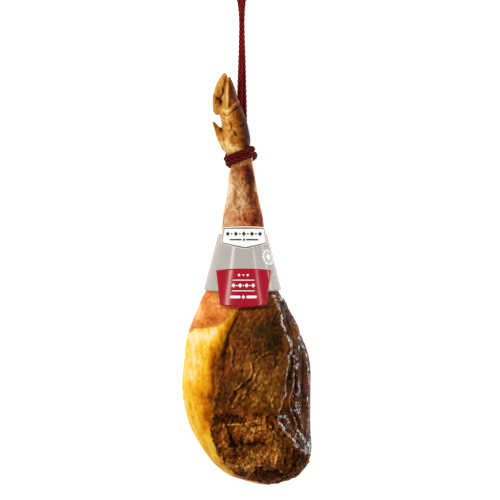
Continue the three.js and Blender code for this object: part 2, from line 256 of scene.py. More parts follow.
LAID = ROPE_RADIUS + 0.3
EYE = {"x": -9, "y": 610, "radius": 24}
OVER = [(-14.1, 302, 15.2), (-13.6, 326, 14.6), (-12.9, 354, 14.6), (-12.1, 384, 14.8),
        (-11.2, 414, 15.2), (-10.2, 444, 15.6), (-9.4, 474, 15.9), (-8.6, 504, 16),
        (-6.8, 530, 15.4), (-2.6, 552, 12.6), (3.6, 571, 8.8), (10, 588, 6.2)]
UNDER = [(-3.9, 300, 12.6), (-4.3, 320, 8), (-4.8, 342, LAID), (-5.5, 370, LAID),
         (-6.3, 400, LAID), (-7.2, 430, LAID), (-8.2, 460, LAID), (-9.2, 490, LAID),
         (-10.6, 516, LAID), (-13.6, 538, LAID), (-18.2, 556, LAID), (-24, 574, LAID),
         (-29.6, 591, LAID)]


def at_joint(side, past):
    """A point of a strand, at a distance past the place where hitch and loop meet."""
    length = math.hypot(1, STRANDS["fall"])
    return (STRANDS[side], STRANDS["y"] + past / length,
            STRANDS["z"] - STRANDS["fall"] * past / length)


def on_hitch(degrees, offset, lift):
    """A point of the hitch: angle round the ankle, distance from its middle, lift off it."""
    angle = math.radians(degrees)
    across = (HITCH["across"] + lift) * math.cos(angle)
    c, s = math.cos(HITCH["tilt"]), math.sin(HITCH["tilt"])
    return (HITCH["x"] + across * c - offset * s, HITCH["y"] + across * s + offset * c,
            HITCH["z"] + (HITCH["up"] + lift) * math.sin(angle))


def mirrored(rows):
    """The same stretch on the other side of the hitch's middle, run backwards."""
    return [(degrees, -offset, lift) for degrees, offset, lift in reversed(rows)]


def hitch_points():
    """The hitch's route, from the left strand twice round the ankle and back to the right one."""
    lap = [(degrees, TURN_OFFSET, 0) for degrees in range(-132, -353, -20)]
    bight = []
    for turned in range(0, 181, 30):
        angle = math.radians(turned)
        arc = math.degrees(BIGHT_RADIUS * math.sin(angle) / (HITCH["across"] + LAYER))
        bight.append((BIGHT_DEGREES - arc, BIGHT_RADIUS * math.cos(angle), LAYER))
    rows = (UPPER_TURNING + lap + TAIL + bight + mirrored(TAIL) + mirrored(lap)
            + LOWER_TURNING[::-1])
    return ([at_joint("left", 0), at_joint("left", -4)] + UPPER_UNDER
            + [on_hitch(*row) for row in rows]
            + LOWER_UNDER[::-1] + [at_joint("right", -4), at_joint("right", 0)])


def loop_points():
    """The free loop's route, out along the left strand, round the eye and back to the right one."""
    eye = []
    for degrees in range(0, 181, 30):
        angle = math.radians(degrees)
        eye.append((EYE["x"] + EYE["radius"] * math.cos(angle),
                    EYE["y"] + EYE["radius"] * math.sin(angle), LAID))
    return ([at_joint("left", 0), at_joint("left", 10)] + OVER + eye + UNDER[::-1]
            + [at_joint("right", 10), at_joint("right", 0)])


# %% A smooth curve through the points
def smooth_route(points, step):
    """Centripetal Catmull-Rom curve through points, as points about one step apart."""
    p = np.array(points, float)
    p = np.vstack([2 * p[0] - p[1], p, 2 * p[-1] - p[-2]])
    fine = []
    t = np.linspace(0, 1, 40, endpoint=False)[:, None]
    for i in range(1, len(p) - 2):
        a, b, c, d = p[i - 1:i + 3]
        before, across, after = [math.sqrt(np.linalg.norm(v)) for v in (b - a, c - b, d - c)]
        leave = (b - a) / before - (c - a) / (before + across) + (c - b) / across
        arrive = (c - b) / across - (d - b) / (across + after) + (d - c) / after
        leave, arrive = leave * across, arrive * across
        fine.append(b + leave * t + (3 * (c - b) - 2 * leave - arrive) * t ** 2
                    + (2 * (b - c) + leave + arrive) * t ** 3)
    fine = np.vstack([*fine, p[-2]])
    along = np.concatenate([[0], np.cumsum(np.linalg.norm(np.diff(fine, axis=0), axis=1))])
    places = np.linspace(0, along[-1], round(along[-1] / step) + 1)
    return np.column_stack([np.interp(places, along, fine[:, k]) for k in range(3)]), along[-1]


ROPE_STEP = 1.0
hitch_line, hitch_length = smooth_route(hitch_points(), ROPE_STEP)
loop_line, loop_length = smooth_route(loop_points(), ROPE_STEP)
print("rope in mm: hitch", round(hitch_length), "and free loop", round(loop_length))

# %% [markdown]
# A braid is strands that run round the cord both ways, over and under each other. One rule gives
# it all: a point's angle and its distance along the rope say which two strands cross there, and
# whether the one or the other is on top. Geometry Nodes sweep a circle along the route and move
# each point out by that rule, so the braid follows every bend and costs no modelling.

# %% The braid as a Geometry Nodes tree
BRAID_INPUTS = {"Line": "Geometry", "Radius": "Float", "Sides": "Int", "Strands": "Int",
                "Pitch": "Float", "Relief": "Float", "Material": "Material"}
STRAND_ROUNDNESS = 0.6
STRAND_WAVE = 0.45
MEAN_CROWN = 0.72


def braid_tree():
    """The tree that braids a rope along a line, and the identifiers of its inputs."""
    tree, given, sockets = new_tree("braided_rope", BRAID_INPUTS)

    def store(geometry, name, value):
        inputs = {"Geometry": geometry, "Name": name, "Value": value}
        return result(tree, "GeometryNodeStoreNamedAttribute", inputs)

    def named(name):
        return result(tree, "GeometryNodeInputNamedAttribute", {"Name": name}, data_type="FLOAT")

    spline = node(tree, "GeometryNodeSplineParameter").outputs
    line = result(tree, "GeometryNodeMeshToCurve", {"Mesh": given["Line"]})
    line = store(line, "along", spline["Length"])
    circle = result(tree, "GeometryNodeCurvePrimitiveCircle",
                    {"Resolution": given["Sides"], "Radius": given["Radius"]})
    circle = store(circle, "around", spline["Factor"])
    tube = result(tree, "GeometryNodeCurveToMesh",
                  {"Curve": line, "Profile Curve": circle, "Fill Caps": True})

    turns = calc(tree, "MULTIPLY", named("around"), given["Strands"])
    climb = calc(tree, "DIVIDE", named("along"), given["Pitch"])
    right = calc(tree, "ADD", turns, climb)
    left = calc(tree, "SUBTRACT", turns, climb)
    cells = calc(tree, "ADD", calc(tree, "FLOOR", right), calc(tree, "FLOOR", left))
    odd = calc(tree, "FLOORED_MODULO", cells, 2.0)
    sign = calc(tree, "MULTIPLY_ADD", odd, -2.0, 1.0)

    def swell(strand):
        """How far a strand bulges, across itself, from 0 at its edges to 1."""
        half_turn = calc(tree, "MULTIPLY", calc(tree, "FRACT", strand), math.pi)
        return calc(tree, "SINE", half_turn)

    wave = calc(tree, "MULTIPLY", sign, STRAND_WAVE)
    over = calc(tree, "MULTIPLY_ADD", wave, swell(left),
                calc(tree, "POWER", swell(right), STRAND_ROUNDNESS))
    under = calc(tree, "MULTIPLY_ADD", calc(tree, "MULTIPLY", wave, -1.0), swell(right),
                 calc(tree, "POWER", swell(left), STRAND_ROUNDNESS))
    crown = calc(tree, "DIVIDE", calc(tree, "MAXIMUM", over, under), 1 + STRAND_WAVE)
    upper = calc(tree, "GREATER_THAN", over, under)
    fibre = calc(tree, "ADD", calc(tree, "MULTIPLY", upper, calc(tree, "FRACT", right)),
                 calc(tree, "MULTIPLY", calc(tree, "SUBTRACT", 1.0, upper),
                      calc(tree, "FRACT", left)))
    tube = store(tube, "crown", crown)
    tube = store(tube, "fibre", fibre)
    lift = calc(tree, "MULTIPLY", calc(tree, "SUBTRACT", named("crown"), MEAN_CROWN),
                given["Relief"])
    outwards = result(tree, "GeometryNodeInputNormal")
    out = result(tree, "ShaderNodeVectorMath", {0: outwards, "Scale": lift}, operation="SCALE")
    tube = result(tree, "GeometryNodeSetPosition", {"Geometry": tube, "Offset": out})
    end_tree(tree, tube, given["Material"])
    return tree, sockets


# %% [markdown]
# The yarn is matt and deep red on the sides of its strands. Its colour carries painted shade, nearly
# black where two strands meet, and painted highlight, paler where they stand up. The braid's tree
# has left two numbers on the mesh, how high a point stands and where it lies across its own strand,
# and the material reads its colour and its fibre lines from them. The hitch has painted shade all
# over, so it is a little darker than the free loop.

# %% The rope's material
YARN = [(0.35, (20, 2, 3)), (0.6, (74, 6, 9)), (0.82, (126, 13, 16)), (1.0, (170, 42, 42))]
FIBRES = 4


def rope_material(name, strength):
    """Dark red yarn; strength scales its colours, and below 1 it paints shade over the yarn."""
    material, tree, shader = new_material(name)
    # Painted shade where two strands meet and painted highlight on the crowns, by how high each
    # point stands.
    standing = calc(tree, "SUBTRACT", attribute(tree, "crown"), 0.5)
    crown_shading = calc(tree, "ADD", grain(tree, 330, 4, 0.7), standing)
    yarn = ramp(tree, crown_shading, [(at, [v * strength for v in shade]) for at, shade in YARN])
    turn = calc(tree, "MULTIPLY", attribute(tree, "fibre"), 2 * FIBRES * math.pi)
    lines = calc(tree, "MULTIPLY", calc(tree, "SINE", turn), 0.5)
    fuzz = calc(tree, "MULTIPLY_ADD", grain(tree, 1500, 2), 0.6, lines)
    feed(tree, shader, {"Base Color": yarn, "Normal": bump(tree, fuzz, 0.5, 0.4),
                        "Roughness": 0.85, "Specular IOR Level": 0.08})
    return material


# %% Make the two stretches of rope
BRAID = {"Radius": 4.85 * MM, "Sides": 40, "Strands": 5, "Pitch": 9.5 * MM, "Relief": 2.0 * MM}
braid = braid_tree()


def rope_piece(name, line, strength):
    """A stretch of braided rope along a line of points."""
    guide = bpy.data.meshes.new(name + "_guide")
    guide.from_pydata((line * MM).tolist(), [(i, i + 1) for i in range(len(line) - 1)], [])
    yarn = rope_material(name + "_yarn", strength)
    piece = run_tree(*braid, name, guide, {**BRAID, "Material": yarn})
    piece.data.shade_smooth()
    return piece


# The hitch's yarn has painted shade: its colours are 0.78 of the free loop's.
hitch = rope_piece("hitch_braid", hitch_line, 0.78)
place(hitch, "rope", "rope_hitch")
loop = rope_piece("loop_braid", loop_line, 1.0)
place(loop, "rope", "rope_loop")

# %% [markdown]
# The ham's solid has the leg's true outline but flat facets. A copy of it is merged, subdivided,
# remeshed with even voxels and smoothed. Then each point moves along its normal by a relief drawn
# in plan: lines for the folds and wrinkles that can be named, and seeded noise for the lumps,
# pits and grain that can't.

# %% A fine even skin over the solid
MERGE_REACH = 0.01
VOXEL = 1.7
SMOOTHING_ROUNDS = 5
FACING_DOWN = -0.25
KEPT_SHARE = 0.7


def fine_skin():
    """The ham's solid as one even mesh, thinned where it faces down and is hidden."""
    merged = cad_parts["ham"].data.copy()
    merged.materials.clear()
    work = bmesh.new()
    work.from_mesh(merged)
    bmesh.ops.remove_doubles(work, verts=work.verts, dist=MERGE_REACH * MM)
    work.to_mesh(merged)
    work.free()
    made = bpy.data.objects.new("merged_solid", merged)
    scene.collection.objects.link(made)
    rounding = made.modifiers.new("rounding", "SUBSURF")
    rounding.levels = rounding.render_levels = 2
    even = made.modifiers.new("even", "REMESH")
    even.mode = "VOXEL"
    even.voxel_size = VOXEL * MM
    soften = made.modifiers.new("soften", "SMOOTH")
    soften.factor = 0.5
    soften.iterations = SMOOTHING_ROUNDS
    even_skin = plain_mesh(made, "even_skin")
    underside = even_skin.vertex_groups.new(name="underside")
    hidden = [v.index for v in even_skin.data.vertices if v.normal.z < FACING_DOWN]
    underside.add(hidden, 1.0, "REPLACE")
    thin = even_skin.modifiers.new("thin", "DECIMATE")
    thin.vertex_group = "underside"
    thin.ratio = KEPT_SHARE
    return plain_mesh(even_skin, "ham_skin")


def vectors(collection, key):
    """One vector of the skin's mesh for each point, as rows of an array."""
    flat = np.empty(count * 3, np.float32)
    collection.foreach_get(key, flat)
    return flat.reshape(-1, 3).astype(float)


ham = fine_skin()
skin_mesh = ham.data
count = len(skin_mesh.vertices)
points = vectors(skin_mesh.vertices, "co") / MM
normals = vectors(skin_mesh.vertex_normals, "vector")
x, y, z = points.T
edge_ends = np.empty(len(skin_mesh.edges) * 2, np.int32)
skin_mesh.edges.foreach_get("vertices", edge_ends)
print("points of the skin:", count)

# %% Tools for drawing on the skin
def step(low, high, value):
    """0 up to low, 1 from high on, and a smooth slope in between."""
    t = np.clip((value - low) / (high - low), 0, 1)
    return t * t * (3 - 2 * t)


def lumps(size, octaves=4, seed=0, stretch=(1, 1, 1), turn=0):
    """Noise of about -1 to 1, its lumps in millimetres, its long way turned by some degrees."""
    shift = Vector((17.3, 5.1, 9.7)) * seed
    c, s = math.cos(math.radians(turn)), math.sin(math.radians(turn))
    px, py, pz = points.T
    turned = np.column_stack([px * c + py * s, py * c - px * s, pz])
    scaled = turned / (np.array(stretch) * size)
    return np.array([noise.fractal(Vector(p) + shift, 1.0, 2.0, octaves) for p in scaled])


def creases(size, width, seed, stretch, turn):
    """Thin broken lines, 1 in their middle, where a stretched noise passes through zero."""
    line = step(width, 0, np.abs(lumps(size, 3, seed, stretch, turn)))
    return line * step(-0.15, 0.25, lumps(3 * size, 2, seed + 50))


def split_blocks(size, seed, where):
    """Blocks as of split wood: the crack round each, 0 to 1, and each block's own height."""
    crack, height = np.zeros(count), np.zeros(count)
    shift = Vector((3.1, 7.9, 2.3)) * seed
    warped = np.column_stack([x + 4 * wander_x, y + 4 * wander_y, 1.4 * z]) / size
    for i in np.nonzero(where > 0.01)[0]:
        distances, middles = noise.voronoi(Vector(warped[i]) + shift)
        crack[i] = distances[1] - distances[0]
        height[i] = noise.noise(middles[0] * 3.7)
    return step(0.10, 0, crack), height


def distance_to(line, px, py):
    """Distance in plan to a line of points."""
    best = np.full(len(px), np.inf)
    for (ax, ay), (bx, by) in zip(line, line[1:]):
        dx, dy = bx - ax, by - ay
        t = np.clip(((px - ax) * dx + (py - ay) * dy) / (dx * dx + dy * dy), 0, 1)
        best = np.minimum(best, np.hypot(px - ax - t * dx, py - ay - t * dy))
    return best


def inside(outline, px, py):
    """Distance in plan to a closed outline, positive inside it."""
    within = np.zeros(len(px), bool)
    closed = outline + outline[:1]
    for (ax, ay), (bx, by) in zip(closed, closed[1:]):
        if ay == by:
            continue
        crosses = (ay > py) != (by > py)
        within ^= crosses & (px < ax + (bx - ax) * (py - ay) / (by - ay))
    away = distance_to(closed, px, py)
    return np.where(within, away, -away)


def near(line, width, px, py, blunt=2):
    """A soft band along a line in plan, 1 on the line."""
    return np.exp(-((distance_to(line, px, py) / width) ** blunt))


def blur(values, rounds):
    """Each point takes the mean of itself and its neighbours, again and again."""
    a, b = edge_ends.reshape(-1, 2).T
    neighbours = np.bincount(a, minlength=count) + np.bincount(b, minlength=count)
    for _ in range(rounds):
        total = (np.bincount(a, values[b], minlength=count)
                 + np.bincount(b, values[a], minlength=count))
        values = 0.5 * values + 0.5 * total / np.maximum(neighbours, 1)
    return values


def spot(cx, cy, across, along, px=x, py=y):
    """A soft round patch in plan, 1 in its middle."""
    return np.exp(-1.2 * (((px - cx) / across) ** 2 + ((py - cy) / along) ** 2))


def painted(patches):
    """The sum of soft patches: each is its middle, its half widths and how much it adds."""
    total = np.zeros(count)
    for *patch, amount in patches:
        total += amount * spot(*patch, wx, wy)
    return total


# %% [markdown]
# The ham's faces differ: skin on the shank and foot, orange rind left on at the upper left, bare
# yellow fat down the left side, dark lean over the cut face and a glossy dark flank on the right.
# Each is a soft mask, drawn as an outline in plan and made ragged by noise.

# %% Where each surface lies
LEAN_EDGE = [
    (2, -40), (-4.9, -50.4), (-16.3, -64.2), (-25.7, -80.4), (-37.1, -101), (-48.6, -126.4),
    (-56.6, -147.2), (-58.9, -177), (-56.6, -200), (-60.2, -223.3), (-61.4, -241.7),
    (-64.8, -260), (-68.2, -283.1), (-65.9, -294.5), (-60.2, -306), (-56.6, -322),
    (-48.6, -338.4), (-34.8, -356.8), (-16.3, -370.5), (4.4, -380), (29.5, -386),
]
LEAN = LEAN_EDGE + [(60, -420), (190, -420), (190, -20), (10, 10)]
RIND_EDGE = [
    (-9, -46), (-18, -55), (-27, -64), (-36, -75), (-46.5, -83.5), (-53.2, -88.4),
    (-76.2, -90.8), (-99.4, -93), (-113, -101), (-124, -112),
]
RIND = RIND_EDGE + [(-200, -112), (-200, 20), (0, 20)]
SIDE_CREST = [
    (52, -30), (55.1, -39), (63.1, -63.7), (68.8, -87.4), (81.5, -115), (84.9, -133.4),
    (78.1, -145.4), (75.8, -168), (71, -188.7), (72.2, -211.9), (61.8, -246), (61.8, -264.7),
    (71.3, -283.1), (84.9, -299.3), (98.8, -315.4), (114, -330),
]
SIDE = SIDE_CREST + [(200, -330), (200, -20)]

wander_x = 2.2 * lumps(16, 3, seed=1) + 0.8 * lumps(5, 2, seed=2)
wander_y = 2.2 * lumps(16, 3, seed=3) + 0.8 * lumps(5, 2, seed=4)
wx, wy = x + wander_x, y + wander_y
facing = normals[:, 2]
below = step(48, 26, z + 3 * wander_x)      # under the widest line, out of the cut face
shank = step(-6, 6, wy + 12)
past_rope = ((y - HITCH["y"]) * math.cos(HITCH["tilt"])
             - (x - HITCH["x"]) * math.sin(HITCH["tilt"]))
foot = step(0, 8, past_rope + 0.5 * wander_x)
soft_edge = 1.5 + 5.5 * step(-275, -235, y) * step(-60, -100, y)
edge_wander = 1.6 * lumps(6, 3, seed=40) * soft_edge / 4
lean = step(-1, 1, (inside(LEAN, wx, wy) + edge_wander) / soft_edge) * (1 - shank)
rind = np.maximum(step(-1.2, 1.2, inside(RIND, wx, wy)) * (1 - lean), below) * (1 - shank)
side = step(-2, 3, inside(SIDE, wx, wy)) * lean
lean = lean * (1 - below)
print("share of the skin that is lean:", round(float(lean.mean()), 2))

# %% [markdown]
# Dried meat wrinkles and splits along lines that an eye picks out at once, so those lines are drawn
# one by one: the long glossy folds of the flank, the wrinkles of the lean, the cracks at the thick
# end, and the slit and creases of the foot. Each is points in plan, and noise makes it waver.

# %% Lines of the relief
# Each line is points in plan, a half width, a height, and how blunt its crest is.
FLANK_FOLD = [
    (66, -38), (79, -54), (86, -71), (91.5, -92), (96.8, -109), (98.9, -126), (96.2, -147),
    (96.8, -164), (98, -206), (96.2, -223), (98, -244), (99, -262), (104, -280),
]
OUTER_FOLD = [
    (80, -48), (89.4, -66.8), (95.7, -92), (102, -111), (108.4, -128), (114, -145), (116, -172),
    (115, -210), (114, -240), (114.7, -265), (112.6, -290),
]
LOW_FOLD = [
    (90.5, -143), (89.4, -172), (87.3, -191), (86.2, -206), (79, -220), (79, -235.7),
    (85.2, -250.5), (90.5, -265), (95.7, -282), (102, -292.7), (110.5, -303), (119, -316),
]
WRINKLES = [
    [(7.5, -154.7), (10, -168.5), (5.8, -182.3), (-8, -194.4), (-15, -201.3), (-27, -209)],
    [(-27, -210), (-34, -223.7), (-36.5, -237.6)],
    [(-23.6, -213.4), (-30.5, -227.2), (-32.2, -239.3)],
    [(0.6, -206.5), (-4.6, -218.6), (-18.4, -232.4), (-25.3, -239.3)],
    [(-29.6, -123.6), (-27, -134), (-28.8, -154.7), (-28, -161.6)],
    [(5.8, -135), (16, -132), (25, -143), (36, -138), (44, -135), (61, -140)],
    [(50.7, -218.6), (44.6, -228), (51.4, -240)],
    [(-14, -309), (-15, -318.8), (-9.8, -330.8)],
    [(15, -176), (12, -188), (2, -202), (-9, -215), (-20, -229)],
    [(-13, -214), (-22, -225), (-28, -239)],
]
CRESTS = [
    (SIDE_CREST, 3.2, 3.8, 1.0),
    (FLANK_FOLD, 3.0, 3.8, 1.0),
    (OUTER_FOLD, 3.2, 3.2, 1.0),
    (LOW_FOLD, 2.6, 3.2, 1.0),
    ([(72, -250), (80, -270), (88, -287), (99, -303)], 2.6, 2.6, 1.0),
    *[(line, 2.6, 2.6, 1.3) for line in WRINKLES],
    ([(-46, -248), (-27, -249), (-11, -258)], 3.4, 2.4, 1.4),
    ([(-48, -272), (-32, -271), (4, -268.7), (18, -265), (31.7, -262), (45.5, -275.6)],
     3.6, 4.0, 1.3),
    ([(-41, -275.6), (-34, -298), (-27, -307)], 3.4, 3.0, 1.4),
    ([(20, -350), (34, -346), (48, -347), (60, -353), (66, -362)], 3.0, 3.2, 1.4),
    ([(66, -308), (62, -324), (68, -334), (65, -352)], 4.5, 3.0, 1.4),
    ([(-46, -336), (-38, -346), (-28, -357), (-16, -367)], 4.5, 3.0, 1.5),
    ([(-6, -345), (-1, -356), (-4, -366), (2, -377)], 3.4, 2.6, 1.4),
    ([(-56, -97), (-63, -112), (-72, -128), (-81, -147), (-87, -166)], 1.8, 1.5, 1.2),
    ([(-62, -99), (-70, -116), (-79, -131), (-88, -148)], 1.8, 1.3, 1.2),
    ([(-97, -150), (-96, -178), (-97, -204), (-93, -228), (-88, -252), (-78, -272)], 2.6, 1.7, 1.2),
    ([(-108, -168), (-109, -200), (-104, -228), (-97, -250)], 2.2, 1.2, 1.2),
    ([(-86, -176), (-84, -205), (-88, -230)], 2.2, 1.0, 1.2),
    ([(-68, -286), (-64, -305), (-58, -330), (-42, -352)], 3.5, 1.4, 1.4),
]
GROOVES = [
    *[([(px + 4.5, py - 1.5) for px, py in line], 2.4, 2.0, 1.4) for line in WRINKLES],
    ([(2, -43), (-9.5, -55), (-20, -75), (-32, -97.7), (-37.4, -118.4), (-44.3, -144.3),
      (-46.3, -168)], 3.2, 4.4, 1.3),
    ([(-34.8, -115), (-41.7, -142.6), (-42.9, -167.9), (-48.6, -188.6), (-52, -215)],
     3.0, 2.8, 1.3),
    ([(5.8, -106), (5.4, -125)], 2.2, 2.4, 1.4),
    ([(-8, -170), (-9.8, -184), (-14, -194)], 2.4, 2.6, 1.3),
    ([(-4, -200), (-18, -208), (-24, -220)], 2.4, 2.4, 1.3),
    ([(60, -150), (52, -163), (45, -178)], 2.6, 1.6, 1.4),
    ([(-62, -268), (-50, -262), (-40, -254), (-28, -254), (-16, -260), (-8, -264)], 8.0, 7.0, 2.0),
    ([(2.1, -246), (14, -252), (30, -254)], 5.0, 2.4, 1.6),
    ([(7.5, -273), (27, -272), (28, -280)], 1.8, 2.4, 1.4),
    ([(18, -272), (18, -281)], 1.8, 2.4, 1.4),
    ([(-36, -274), (-29, -298), (-22, -313), (-21, -328), (-25, -346)], 5.4, 4.6, 1.6),
    ([(-9.8, -309.3), (11, -310.5), (24.8, -306), (34, -309)], 3.4, 5.0, 1.5),
    ([(24, -358), (36, -364), (50, -367), (62, -366)], 7.5, 5.0, 1.8),
    ([(75, -312), (77, -325), (73, -343), (74, -358)], 4.6, 3.6, 1.6),
    ([(92, -60), (100, -98), (106, -140), (106, -200), (107, -250)], 2.6, 3.6, 1.2),
    ([(74, -60), (83, -92), (90, -118), (88, -150), (82, -185)], 2.6, 3.6, 1.2),
    ([(94, -180), (92, -215), (90, -240), (94, -262)], 2.4, 3.0, 1.2),
    ([(-52, -215), (-56, -235), (-60, -250)], 4.0, 2.4, 1.5),
]
SHANK_CRESTS = [
    ([(-13, 190), (-8, 172), (-16, 158)], 1.6, 0.9, 1.2),
    ([(-20, 186), (-10, 168), (-2, 160)], 1.5, 0.8, 1.2),
    ([(-26, 178), (-14, 164), (-6, 150), (-4, 138)], 1.5, 0.8, 1.2),
    ([(-34, 196), (-33, 165), (-37, 140), (-40, 112)], 2.0, 0.8, 1.4),
    ([(-24, 138), (-16, 122), (-18, 106)], 1.6, 0.7, 1.2),
    ([(-10, 132), (-8, 114), (-2, 104)], 1.6, 0.8, 1.2),
    ([(14, 196), (18, 170), (24, 144)], 2.0, 0.9, 1.4),
]
FOOT_CRESTS = [
    ([(-32.2, 386), (-35, 372), (-36, 358), (-35, 344), (-37, 332)], 2.2, 1.9, 1.4),
    ([(-43, 321), (-38, 319), (-31, 325), (-22, 331.7), (-14, 340)], 2.4, 1.8, 1.4),
    ([(-43, 389), (-52, 376), (-60, 360), (-63, 342)], 3.6, 1.2, 1.5),
    ([(-38, 300), (-34, 282), (-33, 262)], 4.0, 1.2, 1.6),
    ([(-22, 318), (-16, 300), (-10, 282), (-4, 262)], 5.0, 1.2, 1.6),
]
FOOT_GROOVES = [
    ([(-36.5, 388), (-39, 376), (-42, 362), (-46, 350), (-48.3, 343), (-48.3, 334)],
     1.9, 3.0, 1.3),
    ([(-43, 315), (-36, 311), (-28, 318.5), (-19, 324.5), (-12, 333)], 2.0, 2.4, 1.3),
    ([(-32, 300), (-29, 289), (-31, 281)], 2.3, 3.0, 1.4),
    ([(-29, 289), (-24, 282), (-19.5, 273)], 2.4, 3.0, 1.4),
    ([(-36, 250), (-30, 262), (-26, 272)], 2.4, 1.2, 1.4),
    ([(-44, 262), (-40, 250), (-34, 242)], 2.4, 1.0, 1.4),
    ([(-50, 294), (-47, 285), (-46, 274), (-42, 264)], 2.4, 2.2, 1.4),
    ([(-42, 306), (-34, 304), (-26, 308)], 2.0, 1.0, 1.4),
    ([(-20, 296), (-12, 292), (-6, 296)], 2.0, 1.0, 1.4),
    ([(-56, 334), (-55, 348), (-50, 360)], 2.0, 1.4, 1.4),
    ([(-60, 330), (-60, 344)], 1.6, 1.2, 1.4),
]

# %% Move the skin
UNDER_CARD = ((-32, -24), (94, 88))
CARD_GAP = 1.2
ROPE_GROOVE = (24, 14)
TOE_TIPS = (340, 392)
TIP_GROWTH = 3.2
CLAW = (-62, 297, 7, 9)
CLAW_GROWTH = (-2.24, 2.88)


def drawn(lines):
    """The height of all these lines, which waver a little less than the edges of the surfaces."""
    height = np.zeros(count)
    for line, width, tall, blunt in lines:
        height += tall * near(line, width, 0.6 * wx + 0.4 * x, 0.6 * wy + 0.4 * y, blunt)
    return height


shown = step(-0.25, 0.3, facing)
swing = 0.8 + 0.8 * lumps(20, 2, seed=5)
named = (drawn(CRESTS) * swing - drawn(GROOVES)) * shown * (1 - shank)
named += (drawn(FOOT_CRESTS) - drawn(FOOT_GROOVES)) * shown * foot
named += drawn(SHANK_CRESTS) * shown * shank * (1 - foot)

rump = step(-246, -262, wy) * lean * (1 - side)
knuckle = step(-0.1, 0.5, spot(96, -340, 36, 30) - 0.25) * lean
middle = (lean - rump).clip(0) * (1 - side)
fat = (1 - lean) * (1 - rind) * (1 - shank)
hide = shank * (1 - foot)
pad = foot * spot(-55, 342, 8, 18) * shown
strands = lumps(9, 5, seed=6, stretch=(1, 2.6, 1.4), turn=-20)
pits = np.minimum(lumps(6, 3, seed=16), 0)
knobs = lumps(5, 4, seed=18, stretch=(1, 1.5, 1), turn=-20)
crack, block = split_blocks(33, 3, rump + knuckle)
fissure = creases(13, 0.10, 30, (1, 2.6, 1.5), -22) * (middle + 0.9 * rump)
streak = lumps(8, 4, seed=31, stretch=(1, 6, 2), turn=14)
rough = rump * (2.6 * lumps(32, 3, seed=7) + 3.0 * strands + 1.4 * knobs + 0.8 * pits)
rough += rump * (4.4 * block - 1.2 * crack)
rough += knuckle * (1.4 * lumps(20, 4, seed=17) + 1.0 * strands + 1.6 * block)
rough += middle * (1.3 * lumps(18, 3, seed=8) + 1.5 * strands + 0.9 * knobs) - 1.3 * fissure
rough += side * (1.5 * lumps(8, 4, seed=9, stretch=(1, 5, 1)) + 0.6 * knobs)
rough += fat * (0.7 * lumps(20, 3, seed=11, stretch=(1, 2, 1)) + 0.7 * streak + 0.25 * knobs)
rough += rind * (0.9 + 0.5 * strands + 0.3 * knobs)
rough += hide * (0.4 * strands + 0.3 * knobs)
rough += foot * (0.5 * strands + 0.3 * knobs) + pad * (3.0 * pits - 0.6)
rough *= 0.25 + 0.75 * step(-0.1, 0.4, facing)

# Nothing rises under the card, where the skin sinks a little, or in the rope's groove.
under_card = step(*UNDER_CARD[0], y) * step(*UNDER_CARD[1], y)
near_rope = step(*ROPE_GROOVE, np.abs(past_rope))
relief = (named + rough) * (1 - near_rope) * (1 - under_card) - CARD_GAP * under_card
points = points + normals * relief[:, None]

# Smoothing has drawn in the tips of the toes and of the side claw: they grow back.
points[:, 1] += TIP_GROWTH * step(*TOE_TIPS, y) ** 2
points[:, :2] += spot(*CLAW)[:, None] * CLAW_GROWTH
points[:, 2] = np.maximum(points[:, 2], 0)
skin_mesh.vertices.foreach_set("co", (points * MM).astype(np.float32).ravel())
skin_mesh.update()
print("relief in mm:", round(float(relief.min()), 1), "to", round(float(relief.max()), 1))

# %% [markdown]
# Colour follows the form with painted light: creases get painted shade, crests painted highlight.
# Each point keeps a tone from 0, dark, to 1, light, made of a few broad patches, noise and how high
# the point stands over its surroundings, which paints the shade and highlight. A second number turns
# the hue from golden to red. The material makes the colours of fat, lean or skin from the two.

# %% Patches of light and dark
# Each patch is its middle in plan, its half widths across and along, and what it adds.
# The lean's patches are partly the meat's own colour and partly painted shade in the recesses of the
# thick end, with painted highlight on its glossy bits.
LEAN_PATCHES = [
    (8, -68, 18, 14, 0.08), (38, -112, 32, 32, -0.28), (58, -120, 14, 26, -0.16),
    (54, -76, 12, 24, -0.16), (-10, -124, 16, 18, 0.04), (34, -200, 34, 46, 0.06),
    (48, -222, 10, 18, 0.10), (-42, -196, 20, 38, -0.08), (-36, -259, 30, 9, -0.34),
    (22, -253, 30, 7, -0.08), (10, -288, 32, 15, 0.20), (-44, -300, 9, 30, 0.14),
    (-26, -312, 7, 28, -0.28), (64, -292, 14, 14, -0.16), (14, -311, 28, 6, -0.26),
    (14, -326, 30, 14, 0.04), (56, -329, 9, 22, 0.34), (40, -352, 20, 8, -0.22),
    (6, -354, 10, 14, 0.34), (-34, -352, 22, 16, 0.36), (16, -344, 42, 30, 0.06),
    (34, -330, 12, 8, 0.10), (40, -370, 40, 12, -0.30), (98, -342, 30, 32, -0.38),
    (90, -98, 6, 34, 0.16), (113, -185, 6, 50, 0.04), (84, -185, 8, 24, -0.06),
]
LEAN_REDS = [
    (8, -70, 30, 16, 0.5), (-12, -124, 22, 24, 0.6), (-44, -180, 22, 60, 0.6),
    (60, -130, 10, 12, 0.4), (112, -185, 14, 60, 0.8), (88, -250, 22, 40, 0.6),
    (-42, -300, 22, 40, 0.7), (20, -300, 24, 20, 0.4), (44, -372, 50, 16, 0.5),
    (96, -340, 30, 26, 0.3), (0, -250, 90, 12, 0.4), (40, -110, 32, 34, -0.6),
    (44, -200, 26, 50, -0.3), (12, -286, 36, 20, 0.4), (56, -328, 20, 28, 0.25),
    (16, -350, 50, 22, 0.1),
]
